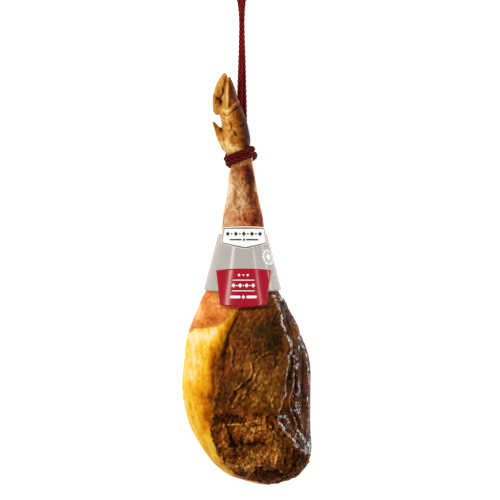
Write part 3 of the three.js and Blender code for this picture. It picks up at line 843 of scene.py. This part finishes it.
# Patches of painted highlight, pale sparkling flecks, which also get stronger mottling and tearing.
SPARKLE_PATCHES = [
    (6, -68, 24, 12, 0.8), (-10, -124, 18, 22, 0.6), (24, -196, 34, 44, 0.8),
    (42, -222, 16, 20, 0.7), (10, -284, 34, 16, 0.5), (56, -326, 14, 26, 0.8),
    (30, -334, 26, 12, 0.7), (4, -354, 12, 16, 1.0), (-36, -346, 22, 20, 1.0),
    (-50, -310, 12, 24, 0.6), (-28, 246, 16, 10, 0.9), (-12, 150, 20, 44, 0.45),
    (2, 206, 22, 12, 0.6), (12, 114, 20, 18, 0.5),
]
FAT_PATCHES = [
    (-84, -106, 30, 13, 0.24), (-60, -102, 9, 10, 0.10), (-104, -132, 10, 30, 0.08),
    (-101, -173, 7, 24, 0.20), (-84, -179, 11, 18, -0.09), (-80, -216, 22, 24, -0.38),
    (-62, -162, 9, 42, -0.28), (-78, -258, 11, 24, -0.34), (-58, -318, 9, 24, 0.12),
    (-58, -352, 18, 14, -0.18), (-20, -376, 24, 10, -0.3), (-96, -272, 14, 44, -0.02),
    (-76, -322, 14, 28, -0.14),
]
RIND_PATCHES = [
    (-60, -74, 18, 10, -0.22), (-82, -84, 14, 5, -0.10), (-90, -60, 10, 18, 0.32),
    (-58, -42, 26, 10, 0.08), (-92, -64, 8, 22, 0.10),
]
# The shank's patches are partly its own colour and partly painted shade towards its right side.
SHANK_PATCHES = [
    (-16, 210, 14, 7, -0.26), (6, 202, 13, 20, -0.54), (-31, 172, 6, 30, 0.32),
    (-22, 160, 3.5, 16, -0.18), (-12, 177, 7, 12, -0.04), (-5, 146, 5, 12, 0.12),
    (8, 172, 9, 22, -0.42), (12, 147, 11, 14, -0.24), (20, 116, 14, 22, -0.36),
    (-12, 114, 12, 18, -0.10), (-3, 116, 5, 12, -0.26), (-36, 114, 7, 20, 0.06),
    (-22, 202, 9, 14, -0.08), (14, 106, 14, 7, -0.10),
]
SHANK_REDS = [
    (4, 206, 24, 16, 1.0), (-8, 112, 22, 18, 0.9), (20, 122, 14, 28, 1.0), (-22, 160, 4, 14, 0.3),
]
# The foot's patches are partly its own colour and partly painted shade in the clefts of the toes and
# the pastern.
FOOT_PATCHES = [
    (-36, 307, 7, 7, 0.12), (-28, 247, 8, 5, 0.24), (-34, 257, 7, 8, 0.16), (-16, 247, 8, 4, 0.14),
    (-25, 264, 8, 9, -0.24), (-55, 286, 9, 12, -0.24), (-49, 286, 3, 4, -0.24),
    (-48.4, 340, 1.8, 6, -0.7), (-45, 360, 2.2, 6, -0.4), (-41, 378, 4, 7, -0.26),
    (-54, 340, 8, 20, -0.26), (-59, 356, 4, 12, 0.12), (-26, 333, 6, 4, 0.10),
    (-29, 291, 3, 7, -0.30), (-21, 277, 5, 6, -0.26), (-60, 297, 5, 7, -0.14),
    (-36, 307, 9, 12, 0.08), (-40, 250, 6, 10, 0.10), (-8, 262, 9, 14, -0.16),
]
# White specks of painted highlight lie along crests and rims: lines and their widths. They thin out
# beside them.
GLINT_LINES = [
    (SIDE_CREST[:7], 3.0), (SIDE_CREST[6:11], 1.8), (SIDE_CREST[10:], 4.2), (FLANK_FOLD[:4], 2.2),
    (FLANK_FOLD[4:], 1.5), (OUTER_FOLD[:6], 3.0), (OUTER_FOLD[5:], 1.8), (LOW_FOLD[1:5], 1.4),
    (LOW_FOLD[5:10], 2.2), (LOW_FOLD[9:], 4.6), ([(62, -30), (70, -44), (84, -56)], 5.0),
    ([(119, -290), (120, -312), (118, -340)], 3.4), ([(119.5, -150), (121, -240)], 2.2),
]
# Beside the lines the flank gets the painted highlight more thinly, in broad bands.
GLINT_BANDS = [
    ([(68, -254), (84, -284), (103, -308), (114, -322)], 12), ([(62, -32), (79, -56), (92, -86)], 9),
    ([(84, -112), (92, -136), (94, -170)], 8), ([(90, -210), (96, -250)], 8),
]
GLINT_SPREAD = 1.6
GLINT_BAND_SHARE = 0.88
# Painted highlight specks along the rind's rim at the upper left.
GLINT_RIM = [(-84, -36), (-96, -64), (-107, -96)]
# A painted shadow darkens the meat along this line, just below the red plate's lower edge.
PAINTED_PLATE_SHADOW = [(-46, -51), (-26, -54), (-6, -55), (16, -54), (36, -51)]

# %% Tones of the cut face
fold_rise = named - blur(named, 5)
fold_wide = named - blur(named, 24)
rough_rise = np.clip(rough - blur(rough, 8), -1.2, 1.2)
# crest and deep are what stands up and what sinks; the tones paint highlight on the one and shade in
# the other.
crest = np.clip(0.8 * fold_rise + 0.16 * fold_wide, 0, 1)
deep = np.clip(-0.8 * fold_rise - 0.10 * fold_wide, 0, 1)

lean_tone = 0.42 + 0.14 * lumps(30, 4, seed=20) + 0.12 * lumps(10, 4, seed=21, stretch=(1, 1.8, 1))
lean_tone += painted(LEAN_PATCHES) - 0.14 * side
# Painted highlight on the lean's crests and rises, painted shade in its creases.
lean_tone += 0.30 * crest - (0.36 + 0.24 * side) * deep + 0.22 * rough_rise
lean_tone += rump * (0.07 + 0.26 * block - 0.10 * crack) + 0.03 * middle - 0.18 * fissure

edge_reach = -inside(LEAN, wx, wy)
border = step(7, 0, np.abs(edge_reach)) * lean
# Painted shade in the groove along the lean's edge beside the fat.
lean_tone -= 0.14 * border
fat_tone = 0.67 + 0.08 * lumps(30, 3, seed=22) + 0.08 * lumps(8, 3, seed=23, stretch=(1, 2, 1))
fat_tone += painted(FAT_PATCHES)
fat_tone -= 0.40 * step(22, 0, edge_reach) * step(-290, -250, y) + 0.22 * step(8, 1, edge_reach)
# Painted highlight on the fat's crests and rises, painted shade in its creases.
fat_tone += 0.34 * crest - 0.3 * deep + 0.1 * rough_rise + 0.10 * streak
fat_tone -= 0.10 * creases(10, 0.05, 33, (1, 4, 2), 14)

# %% Tones of the skin
skin_tone = 0.68 + (0.12 - 0.03 * shank) * lumps(18, 4, seed=24)
skin_tone += (0.18 - 0.10 * shank) * lumps(6, 4, seed=25)
skin_tone += hide * 0.20 * creases(9, 0.09, 34, (1, 3, 1.5), -12)
skin_tone -= rind * 0.16 * creases(11, 0.08, 35, (1, 2, 1.5), 30)
# Painted shade over the shank's right side, turned away from the key light.
shaded_right_side = step(-16, 22, x + 0.10 * (y - 150) + 2 * wander_x)
skin_tone += (painted(SHANK_PATCHES) - 0.14 * shaded_right_side + 0.12 * drawn(SHANK_CRESTS) - 0.04) * hide
# Painted highlight along the shank's steep rims, stronger on the right.
skin_tone += 0.50 * step(0.50, 0.30, facing) * shaded_right_side * step(120, 140, y) * hide
skin_tone += 0.22 * step(0.50, 0.25, facing) * (1 - shaded_right_side) * hide
skin_tone += rind * painted(RIND_PATCHES)
skin_tone += foot * painted(FOOT_PATCHES)
under_hoof = step(329, 321, y - 0.35 * (x + 30))
# Painted shade over the foot's right side under the hoof and over the right half of the right toe.
skin_tone -= foot * 0.52 * step(-28, -1, x + 0.22 * (y - 280)) * under_hoof
skin_tone -= foot * 0.40 * step(-36.5, -32, x) * (1 - under_hoof)
# Painted highlight along the two hoof rims and painted shade in the pits of the pad.
skin_tone += foot * (0.04 + 0.08 * drawn(FOOT_CRESTS[:2]) * shown) + 0.5 * pad * pits
# Painted highlight on the skin's crests and rises, painted shade in its creases.
skin_tone += 0.16 * crest - 0.30 * deep + 0.16 * rough_rise
skin_tone += 0.10 * foot * (skin_tone - 0.56)

# %% What the mesh keeps
tone = lean_tone * lean + fat_tone * fat + skin_tone * (1 - lean) * (1 - fat)
# Painted shadow under the red plate's lower edge.
tone -= 0.34 * near(PAINTED_PLATE_SHADOW, 2.4, x, y) * (lean + fat + (1 - lean) * (1 - fat))
skin = np.clip(np.maximum(rind, shank), 0, 1)
red = (0.42 + 0.7 * painted(LEAN_REDS)) * lean + painted(SHANK_REDS) * hide
red += 0.3 * lumps(22, 3, seed=27) + 0.7 * border
wet = np.clip(0.4 * lean + 0.6 * side + 0.15 * fat + 0.3 * foot, 0, 1)
wet *= 0.3 + 0.7 * step(0.05, 0.45, facing)
wet *= 1 - 0.8 * step(-345, -368, y)        # the hollow at the thick end is dry and dull
# White specks of painted highlight along the lean's crests and rims, and along the rind's rim.
bands = [near(line, GLINT_SPREAD * width, wx, wy) for line, width in GLINT_LINES]
bands += [GLINT_BAND_SHARE * near(line, width, wx, wy) for line, width in GLINT_BANDS]
painted_glint = np.max(bands, axis=0) * lean * (0.6 + 0.4 * step(-0.3, 0.1, lumps(11, 3, seed=28)))
painted_glint += 0.8 * rind * near(GLINT_RIM, 4, x, y)
painted_glint *= step(0.0, 0.4, facing)

kept = {"tone": tone, "lean": lean, "skin": skin, "rind": rind, "wet": wet, "foot": foot,
        "red": red, "painted_glint": painted_glint, "sparkle_and_mottle": painted(SPARKLE_PATCHES)}
for name, values in kept.items():
    stored = skin_mesh.attributes.new(name, "FLOAT", "POINT")
    stored.data.foreach_set("value", np.clip(values, 0, 1).astype(np.float32))
    print(name, "mean", round(float(values.mean()), 2))

# %% [markdown]
# Lean, fat, rind, shank and foot are one skin, so they are one material. Each surface has a ramp of
# its own from dark to light, taken by the tone that the mesh keeps, and the masks blend one into
# the next. Three grains of noise mottle the tone, a torn crumb roughens it, pale flecks of painted
# highlight stand on patches of lean and shank, and white specks of painted highlight go on top of
# all.

# %% The ham's material
GOLDEN_LEAN = [(0.0, (22, 11, 1)), (0.2, (54, 30, 4)), (0.4, (94, 54, 9)), (0.6, (134, 82, 20)),
               (0.8, (184, 122, 40)), (1.0, (238, 186, 98))]
RED_LEAN = [(0.0, (22, 6, 1)), (0.2, (58, 20, 3)), (0.4, (104, 42, 6)), (0.6, (146, 66, 13)),
            (0.8, (196, 106, 30)), (1.0, (240, 172, 84))]
FAT = [(0.0, (112, 40, 3)), (0.2, (194, 94, 4)), (0.4, (232, 142, 6)), (0.6, (253, 190, 16)),
       (0.7, (254, 206, 58)), (0.8, (249, 219, 132)), (1.0, (252, 238, 196))]
GOLDEN_SKIN = [(0.0, (46, 16, 4)), (0.25, (108, 50, 18)), (0.5, (172, 108, 54)),
               (0.75, (214, 166, 112)), (1.0, (240, 214, 178))]
RED_SKIN = [(0.0, (50, 12, 6)), (0.25, (116, 36, 16)), (0.5, (186, 88, 42)),
            (0.75, (222, 152, 106)), (1.0, (244, 208, 176))]
RIND_SHADES = [(0.0, (96, 30, 6)), (0.3, (180, 76, 20)), (0.6, (222, 122, 40)),
               (0.8, (236, 148, 66)), (1.0, (246, 196, 134))]
FOOT_SHADES = [(0.0, (26, 8, 1)), (0.25, (92, 38, 5)), (0.5, (166, 90, 20)),
               (0.75, (218, 152, 62)), (1.0, (250, 224, 152))]
GLINT_COLOUR = (248, 242, 238)
GLINT_SPECKS = (0.765, 0.805)
AMBER_GLOSS = (1.0, 0.76, 0.5, 1)


def between(tree, low, high, value):
    """0 below low, 1 above high, even in between."""
    inputs = {"Value": value, "From Min": low, "From Max": high}
    return result(tree, "ShaderNodeMapRange", inputs)


def ham_material():
    """The whole skin's material, from the numbers that the mesh keeps."""
    material, tree, shader = new_material("cured_meat")
    at = {name: attribute(tree, name) for name in kept}
    fine = grain(tree, 420, 5, 0.75)
    middle = grain(tree, 120, 5, 0.65)
    fibre = grain(tree, 300, 4, 0.65, stretch=(1, 0.35, 0.6))
    crumb = grain(tree, 190, 5, 0.7, stretch=(1, 0.6, 0.8), distortion=0.5)

    mottled = weighted(tree, -0.725, (fine, 0.4), (middle, 0.7), (fibre, 0.35))
    mottling = weighted(tree, 0.6, (at["sparkle_and_mottle"], 0.35), (at["foot"], -0.15))
    torn = calc(tree, "SUBTRACT", between(tree, 0.52, 0.60, crumb), between(tree, 0.47, 0.40, crumb))
    tearing = weighted(tree, 0.04, (at["sparkle_and_mottle"], 0.10), (at["lean"], 0.03), (at["skin"], 0.03))
    # Pale flecks of painted highlight where the sparkle patches lie.
    bright = between(tree, 0.54, 0.68, weighted(tree, 0.0, (fine, 0.6), (fibre, 0.4)))
    painted_sparkle = calc(tree, "MULTIPLY", bright, at["sparkle_and_mottle"])
    tone = weighted(tree, at["tone"], (mottled, mottling), (torn, tearing), (painted_sparkle, 0.55))

    lean = blend(tree, at["red"], ramp(tree, tone, GOLDEN_LEAN), ramp(tree, tone, RED_LEAN))
    skin = blend(tree, at["red"], ramp(tree, tone, GOLDEN_SKIN), ramp(tree, tone, RED_SKIN))
    skin = blend(tree, at["foot"], skin, ramp(tree, tone, FOOT_SHADES))
    skin = blend(tree, at["rind"], skin, ramp(tree, tone, RIND_SHADES))
    surface = blend(tree, at["lean"], ramp(tree, tone, FAT), lean)
    surface = blend(tree, at["skin"], surface, skin)
    # White specks of painted highlight on top of all.
    specks = weighted(tree, grain(tree, 420, 5, 0.85, stretch=(1, 0.38, 1)), (at["painted_glint"], 0.28))
    glint_share = between(tree, *GLINT_SPECKS, specks)
    surface = blend(tree, glint_share, surface, colour(*GLINT_COLOUR))

    gloss = weighted(tree, 0.33, (at["wet"], -0.26), (middle, 0.3))
    height = weighted(tree, 0.0, (fine, 0.5), (fibre, 0.4), (crumb, 0.9))
    feed(tree, shader, {"Base Color": surface, "Normal": bump(tree, height, 0.8, 1.8),
                        "Roughness": gloss, "Specular IOR Level": 0.08,
                        "Specular Tint": AMBER_GLOSS})
    return material


skin_mesh.materials.clear()
skin_mesh.materials.append(ham_material())
skin_mesh.shade_smooth()
place(ham, "meat", "ham")

# %% [markdown]
# The card sleeve is an oval cone cut from silver laminated card. A cone is a rule, so each point
# comes from two numbers, the place along the leg and the angle from the top, and the plates and
# every printed mark are laid on the same cone a little further out.

# %% The cone
CARD = 1.0
SHANK_END = {"y": 88, "x": -7.6, "z": 56.5, "across": 45.5, "up": 39}
BODY_END = {"y": -23, "x": -7.6, "z": 61.5, "across": 74.5, "up": 54}


def cone_at(place_y):
    """The cone's section at a place along the leg: its middle, x and z, and its two radii."""
    t = (place_y - SHANK_END["y"]) / (BODY_END["y"] - SHANK_END["y"])
    return [SHANK_END[k] + (BODY_END[k] - SHANK_END[k]) * t for k in ("x", "z", "across", "up")]


def on_cone(place_y, angle, out):
    """A point on the cone at an angle from its top, moved out by a distance."""
    cx, cz, across, up = cone_at(place_y)
    nx, nz = math.sin(angle) / across, math.cos(angle) / up
    size = math.hypot(nx, nz)
    return (cx + across * math.sin(angle) + out * nx / size, place_y,
            cz + up * math.cos(angle) + out * nz / size)


def over_cone(plan_x, plan_y, out):
    """The point on the cone's shown side above a place in plan."""
    cx, _, across, _ = cone_at(plan_y)
    return on_cone(plan_y, math.asin(max(-1, min(1, (plan_x - cx) / across))), out)


def sheet(rows, columns, place_at, wraps):
    """A closed sheet: place_at(u, v, side) gives a point, side 0 inside and 1 outside."""
    wide = columns if wraps else columns + 1
    made = [place_at(r / rows, c / columns, side)
            for side in (0, 1) for r in range(rows + 1) for c in range(wide)]

    def at(side, r, c):
        return (side * (rows + 1) + r) * wide + (c % columns if wraps else c)

    faces = []
    for r in range(rows):
        for c in range(columns):
            faces.append((at(1, r, c), at(1, r, c + 1), at(1, r + 1, c + 1), at(1, r + 1, c)))
            faces.append((at(0, r, c), at(0, r + 1, c), at(0, r + 1, c + 1), at(0, r, c + 1)))
    for c in range(columns):
        faces.append((at(0, 0, c), at(0, 0, c + 1), at(1, 0, c + 1), at(1, 0, c)))
        faces.append((at(0, rows, c), at(1, rows, c), at(1, rows, c + 1), at(0, rows, c + 1)))
    if not wraps:
        for r in range(rows):
            faces.append((at(0, r, 0), at(1, r, 0), at(1, r + 1, 0), at(0, r + 1, 0)))
            faces.append((at(0, r, columns), at(0, r + 1, columns),
                          at(1, r + 1, columns), at(1, r, columns)))
    return made, faces


# %% [markdown]
# Laminated card is paper under a clear film. Its colour is even but for a faint cloud, its gloss is
# the film's, and a very low paper grain breaks the highlights. The inks and the gold line are made
# the same way in other colours, so one function makes all six.

# %% Card materials
def card_material(name, shade, metal, roughness):
    """Laminated card of one screen colour."""
    material, tree, shader = new_material(name)
    paper = grain(tree, 900, 3, 0.6)
    tint = weighted(tree, 0.95, (grain(tree, 30, 2, 0.5), 0.10))
    tinted = result(tree, "ShaderNodeVectorMath", {0: colour(*shade)[:3], "Scale": tint},
                    operation="SCALE")
    feed(tree, shader, {"Base Color": tinted, "Normal": bump(tree, paper, 0.25, 0.04),
                        "Roughness": weighted(tree, roughness - 0.05, (paper, 0.1)),
                        "Metallic": metal, "Specular IOR Level": 0.22})
    return material


CARDS = [
    ("silver_card", (184, 177, 169), 0.0, 0.16), ("crimson_card", (174, 20, 42), 0.0, 0.16),
    ("white_card", (253, 252, 250), 0.0, 0.42), ("gold_line", (128, 108, 66), 0.3, 0.4),
    ("dark_ink", (40, 38, 36), 0.0, 0.5), ("pearl_ink", (205, 199, 192), 0.0, 0.3),
]
silver, crimson, white, gold, ink, pearl = [card_material(*card) for card in CARDS]
print("card materials:", len(CARDS))

# %% The sleeve
SLEEVE_LOW = (-18.5, -4.5)
SLEEVE_HIGH = (86.5, 2)


def sleeve_at(u, v, side):
    """A point of the sleeve, whose two rims sway along the leg as they run round it."""
    angle = 2 * math.pi * v
    low, high = [mean + sway * math.cos(angle) for mean, sway in (SLEEVE_LOW, SLEEVE_HIGH)]
    return on_cone(low + (high - low) * u, angle, side * CARD)


sleeve = mesh_piece("sleeve_card", *sheet(30, 180, sleeve_at, True), silver)
place(sleeve, "silver_card", "sleeve")

# %% [markdown]
# Small pale waves are printed all round the sleeve. They repeat on a surface, so Geometry Nodes
# make them: one short wave is swept from a line, put on every point of a flat grid with each
# second row shifted, and then the whole sheet is bent round the cone by the cone's own rule.

# %% Waves printed round the card
CARD_RADIUS = 60
BEND_STEPS = 12
WAVE_INPUTS = {"Guide": "Geometry", "Rows": "Int", "Columns": "Int", "Low": "Float",
               "High": "Float", "Length": "Float", "Swing": "Float", "Width": "Float",
               "Out": "Float", "Material": "Material"}


def wave_tree():
    """The tree that prints waves round the cone, and the identifiers of its inputs."""
    tree, given, sockets = new_tree("printed_waves", WAVE_INPUTS)
    here = result(tree, "GeometryNodeInputPosition")

    def moved(geometry, px, py, pz, socket="Offset"):
        vector = result(tree, "ShaderNodeCombineXYZ", {0: px, 1: py, 2: pz})
        return result(tree, "GeometryNodeSetPosition", {"Geometry": geometry, socket: vector})

    flat_x, flat_y, flat_z = node(tree, "ShaderNodeSeparateXYZ", {0: here}).outputs
    length_step = calc(tree, "DIVIDE", given["Length"], float(BEND_STEPS))
    each = result(tree, "ShaderNodeCombineXYZ", {0: length_step})
    stroke = result(tree, "GeometryNodeMeshLine", {"Count": BEND_STEPS + 1, "Offset": each})
    phase = calc(tree, "MULTIPLY", calc(tree, "DIVIDE", flat_x, given["Length"]), 2 * math.pi)
    swung = calc(tree, "MULTIPLY", calc(tree, "SINE", phase), given["Swing"])
    stroke = result(tree, "GeometryNodeMeshToCurve", {"Mesh": moved(stroke, 0.0, swung, 0.0)})
    section = result(tree, "GeometryNodeCurvePrimitiveQuadrilateral",
                     {"Width": given["Width"], "Height": given["Width"]})
    stroke = result(tree, "GeometryNodeCurveToMesh",
                    {"Curve": stroke, "Profile Curve": section, "Fill Caps": True})

    filled = calc(tree, "SUBTRACT", 1.0, calc(tree, "DIVIDE", 1.0, given["Columns"]))
    spread = calc(tree, "MULTIPLY", 2 * math.pi * CARD_RADIUS * MM, filled)
    reach = calc(tree, "SUBTRACT", given["High"], given["Low"])
    grid = result(tree, "GeometryNodeMeshGrid",
                  {"Size X": spread, "Size Y": reach,
                   "Vertices X": given["Columns"], "Vertices Y": given["Rows"]})
    row = calc(tree, "FLOORED_MODULO", result(tree, "GeometryNodeInputIndex"), given["Rows"])
    half_gap = calc(tree, "DIVIDE", math.pi * CARD_RADIUS * MM, given["Columns"])
    shift = calc(tree, "MULTIPLY", calc(tree, "FLOORED_MODULO", row, 2.0), half_gap)
    middle = calc(tree, "MULTIPLY", calc(tree, "ADD", given["High"], given["Low"]), 0.5)
    waves = result(tree, "GeometryNodeInstanceOnPoints",
                   {"Points": moved(grid, shift, middle, 0.0), "Instance": stroke})
    waves = result(tree, "GeometryNodeRealizeInstances", {"Geometry": waves})

    angle = calc(tree, "DIVIDE", flat_x, CARD_RADIUS * MM)
    share = calc(tree, "DIVIDE", calc(tree, "SUBTRACT", flat_y, SHANK_END["y"] * MM),
                 (BODY_END["y"] - SHANK_END["y"]) * MM)
    mid_x, mid_z, across, up = [
        calc(tree, "MULTIPLY_ADD", share, (BODY_END[k] - SHANK_END[k]) * MM, SHANK_END[k] * MM)
        for k in ("x", "z", "across", "up")]
    sine, cosine = calc(tree, "SINE", angle), calc(tree, "COSINE", angle)
    lean_x, lean_z = calc(tree, "DIVIDE", sine, across), calc(tree, "DIVIDE", cosine, up)
    size = calc(tree, "SQRT", weighted(tree, 0.0, (lean_x, lean_x), (lean_z, lean_z)))
    lift = calc(tree, "DIVIDE", calc(tree, "ADD", flat_z, given["Out"]), size)
    bent_x = weighted(tree, mid_x, (across, sine), (lift, lean_x))
    bent_z = weighted(tree, mid_z, (up, cosine), (lift, lean_z))
    end_tree(tree, moved(waves, bent_x, flat_y, bent_z, socket="Position"), given["Material"])
    return tree, sockets


WAVES = {"Rows": 9, "Columns": 18, "Low": -13 * MM, "High": 79 * MM, "Length": 11 * MM,
         "Swing": 1.3 * MM, "Width": 0.5 * MM, "Out": 0.85 * MM, "Material": pearl}
wave_guide = bpy.data.meshes.new("wave_guide")
place(run_tree(*wave_tree(), "sleeve_waves", wave_guide, WAVES), "silver_card")

# %% [markdown]
# The plates are thick card bent over the sleeve. The edges of a plate are functions in plan, so one
# rule makes both: bowed, arched or pointed below and above, and straight down the sides. The face
# has the plate's colour, and the cut edges show the card's white core.

# %% The two plates
PLATE_TOP = 2.3
PLATE_GAP = 0.05


def bow(v):
    """An even arch over an edge, 0 at its ends and 1 in its middle."""
    return 1 - (2 * v - 1) ** 2


def straight(y0, x0, y1, x1):
    """A straight side through two points in plan."""
    return lambda place_y: x0 + (x1 - x0) * (place_y - y0) / (y1 - y0)


def plate_at(edges, u, v, out):
    """A plate's point from its shares along and across; the edges are given in plan."""
    low, high, left, right = edges
    place_y = low(v) + (high(v) - low(v)) * u
    cx, _, across, _ = cone_at(place_y)
    a, b = [math.asin((edge(place_y) - cx) / across) for edge in (left, right)]
    return on_cone(place_y, a + (b - a) * v, out)


def plate_piece(name, edges, rows, columns, material):
    """A plate with a face of one colour and edges that show the white core of the card."""
    def point_at(u, v, side):
        return plate_at(edges, u, v, PLATE_TOP if side else CARD + PLATE_GAP)

    made = mesh_piece(name, *sheet(rows, columns, point_at, False), material)
    made.data.materials.append(white)
    for polygon in made.data.polygons[2 * rows * columns:]:
        polygon.material_index = 1
        polygon.use_smooth = False
    return made


RED_EDGES = (lambda v: -46.5 - 4 * bow(v), lambda v: 18 + 3.4 * bow(v),
             straight(-46.5, -49, 18, -56), straight(-46.5, 36.5, 18, 45))
PALE_EDGES = (lambda v: 68.5 - 11.5 * (1 - abs(2 * v - 1)), lambda v: 98.5 + 2 * bow(v),
              straight(68.5, -47, 98.5, -42), straight(68.5, 37.5, 98.5, 32))
place(plate_piece("red_plate_card", RED_EDGES, 24, 40, crimson), "red_card", "red_plate")
place(plate_piece("pale_plate_card", PALE_EDGES, 16, 40, white), "pale_card", "pale_plate")

# %% [markdown]
# The print is plain ornament: rules, bars, lozenges and dots. All of them are one shape, a
# superellipse, whose power turns it from a lozenge at 1 through a dot at 2 to a bar at 8. Each is
# a closed sheet of ink three tenths of a millimetre thick, laid on the plate.

# %% Print on the plates
INK = 0.3
TIP_SHARE = 0.02


def mark(cx, cy, half_width, half_height, power):
    """A small closed sheet of ink on the plates' level, with narrow tips that don't quite close."""
    def mark_at(u, v, side):
        turned = -math.cos(math.pi * v)
        reach = max(0.0, 1 - abs(turned) ** power) ** (1 / power)
        place_y = cy + half_height * (2 * u - 1) * max(reach, TIP_SHARE)
        return over_cone(cx + half_width * turned, place_y, PLATE_TOP + INK * side)

    return sheet(2, 20, mark_at, False)


def mark_piece(name, marks, material):
    """All marks of one plate as one piece."""
    all_points, all_faces = [], []
    for row in marks:
        new_points, new_faces = mark(*row)
        all_faces += [tuple(i + len(all_points) for i in face) for face in new_faces]
        all_points += new_points
    return mesh_piece(name, all_points, all_faces, material)


def chain(middle, row, half_width, links, large, small):
    """Lozenges in a row, with a dot between each two."""
    marks = []
    for i in range(2 * links - 1):
        across = middle + half_width * (i / (links - 1) - 1)
        marks.append((across, row, *large, 1) if i % 2 == 0 else (across, row, small, small, 2))
    return marks


RED_MIDDLE = -5.8
RED_MARKS = [
    *chain(RED_MIDDLE, 9, 8, 2, (2.6, 2.8), 1.5),
    (RED_MIDDLE, -0.5, 20, 0.8, 8),
    *chain(RED_MIDDLE, -10.5, 18, 4, (3.6, 4.4), 1.3),
    (RED_MIDDLE, -20.5, 21, 0.8, 8),
    (RED_MIDDLE - 15, -32, 9.5, 2.6, 8), (RED_MIDDLE + 15, -32, 9.5, 2.6, 8),
    (RED_MIDDLE, -32, 3.2, 4.2, 1),
]
PALE_MIDDLE = -5
PALE_MARKS = [
    *chain(PALE_MIDDLE, 86.5, 29, 5, (3.6, 4.6), 1.6),
    (PALE_MIDDLE - 15, 75.5, 11, 1.4, 8), (PALE_MIDDLE + 15, 75.5, 11, 1.4, 8),
    (PALE_MIDDLE, 75.5, 2.4, 3, 1),
]
place(mark_piece("red_plate_print", RED_MARKS, white), "red_card")
place(mark_piece("pale_plate_print", PALE_MARKS, ink), "pale_card")

# %% [markdown]
# A thin gold line runs round the pale plate, and a scalloped white seal of three rings is printed
# on the sleeve beside the plates. Both are closed sheets too: the line follows the plate's own
# shares along and across, and the rings are laid on the cone.

# %% The gold line and the seal
CORNERS = ((0, 0), (0, 1), (1, 1), (1, 0))
LINE_INSET = (0.045, 0.02)
LINE_WIDTH = (0.06, 0.022)
SEAL = {"y": 42.6, "angle": math.radians(57), "radius": 15.5, "scallops": 14, "arc": 50}
SEAL_RINGS = ((0.76, 0.92, 0.09), (0.60, 0.67, 0.0), (0.02, 0.40, 0.16))


def line_at(u, v, side):
    """A line round the pale plate, just inside its edge; inset and width are its shares."""
    margins = [inset + width * u for inset, width in zip(LINE_INSET, LINE_WIDTH)]
    corner, share = divmod(4 * v, 1)
    a, b = [CORNERS[int(corner + k) % 4] for k in (0, 1)]
    along, across = [margin + (1 - 2 * margin) * (p + (q - p) * share)
                     for margin, p, q in zip(margins, a, b)]
    return plate_at(PALE_EDGES, along, across, PLATE_TOP + INK * side)


def seal_ring(inner, outer, scallop):
    """A ring of the seal: radii as shares of the seal's radius, and how deep its rim is cut."""
    def ring_at(u, v, side):
        turn = 2 * math.pi * v
        rim = outer * (1 + scallop * math.cos(SEAL["scallops"] * turn))
        reach = SEAL["radius"] * (inner + (rim - inner) * u)
        return on_cone(SEAL["y"] + reach * math.sin(turn),
                       SEAL["angle"] + reach * math.cos(turn) / SEAL["arc"], CARD + INK * side)

    return sheet(2, 8 * SEAL["scallops"], ring_at, True)


place(mesh_piece("gold_border", *sheet(1, 96, line_at, True), gold), "pale_card")
for number, ring in enumerate(SEAL_RINGS, 1):
    place(mesh_piece(f"seal_ring_{number}", *seal_ring(*ring), white), "silver_card")

# %% [markdown]
# Floor, light and sky: a near-white floor, a large soft light from the upper left, a narrower one
# over the right, and a strip low on the right that draws the crisp lines on the glossy flank.

# %% Stage
FLOOR_REACH = 6000
FLOOR_HEIGHT = -0.4
FLOOR_SHADES = [(0.0, (242, 243, 244)), (1.0, (246, 247, 248))]
# Each light is its name, its place, what it is aimed at, its width, its length and its watts.
LIGHTS = [
    ("key", (-1100, 450, 1850), (0, 0, 60), 300, 2000, 39),
    ("second", (1200, 500, 1600), (0, 0, 60), 120, 1200, 8),
    ("strip", (1500, 200, 350), (50, 0, 70), 40, 1400, 9),
]


def area_light(name, stands_at, aimed_at, width, length, watts):
    """A soft light whose long side runs along the leg."""
    data = bpy.data.lights.new(name, "AREA")
    data.shape = "RECTANGLE"
    data.size = width * MM
    data.size_y = length * MM
    data.energy = watts
    made = bpy.data.objects.new(name, data)
    made.location = Vector(stands_at) * MM
    back = (Vector(stands_at) - Vector(aimed_at)).normalized()
    long_side = (Vector((0, 1, 0)) - back * back.y).normalized()
    turned = Matrix((long_side.cross(back), long_side, back)).transposed()
    made.rotation_euler = turned.to_euler()
    scene.collection.objects.link(made)


def floor_piece():
    """A pale table that is lit a little from inside, so that shadows on it stay faint."""
    material, tree, shader = new_material("pale_floor")
    cloud = ramp(tree, grain(tree, 3, 2), FLOOR_SHADES)
    feed(tree, shader, {"Base Color": cloud, "Emission Color": cloud, "Emission Strength": 0.8,
                        "Roughness": 0.9})
    corners = [(FLOOR_REACH * p, FLOOR_REACH * q, FLOOR_HEIGHT)
               for p, q in ((-1, -1), (1, -1), (1, 1), (-1, 1))]
    mesh_piece("floor", corners, [(0, 1, 2, 3)], material)


floor_piece()
for light in LIGHTS:
    area_light(*light)
world = bpy.data.worlds.new("sky")
scene.world = world
world.use_nodes = True
feed(world.node_tree, world.node_tree.nodes["Background"],
     {"Color": (0.95, 0.98, 1.0, 1), "Strength": 0.12})
scene.view_settings.view_transform = "Standard"
print("lights:", len(LIGHTS))
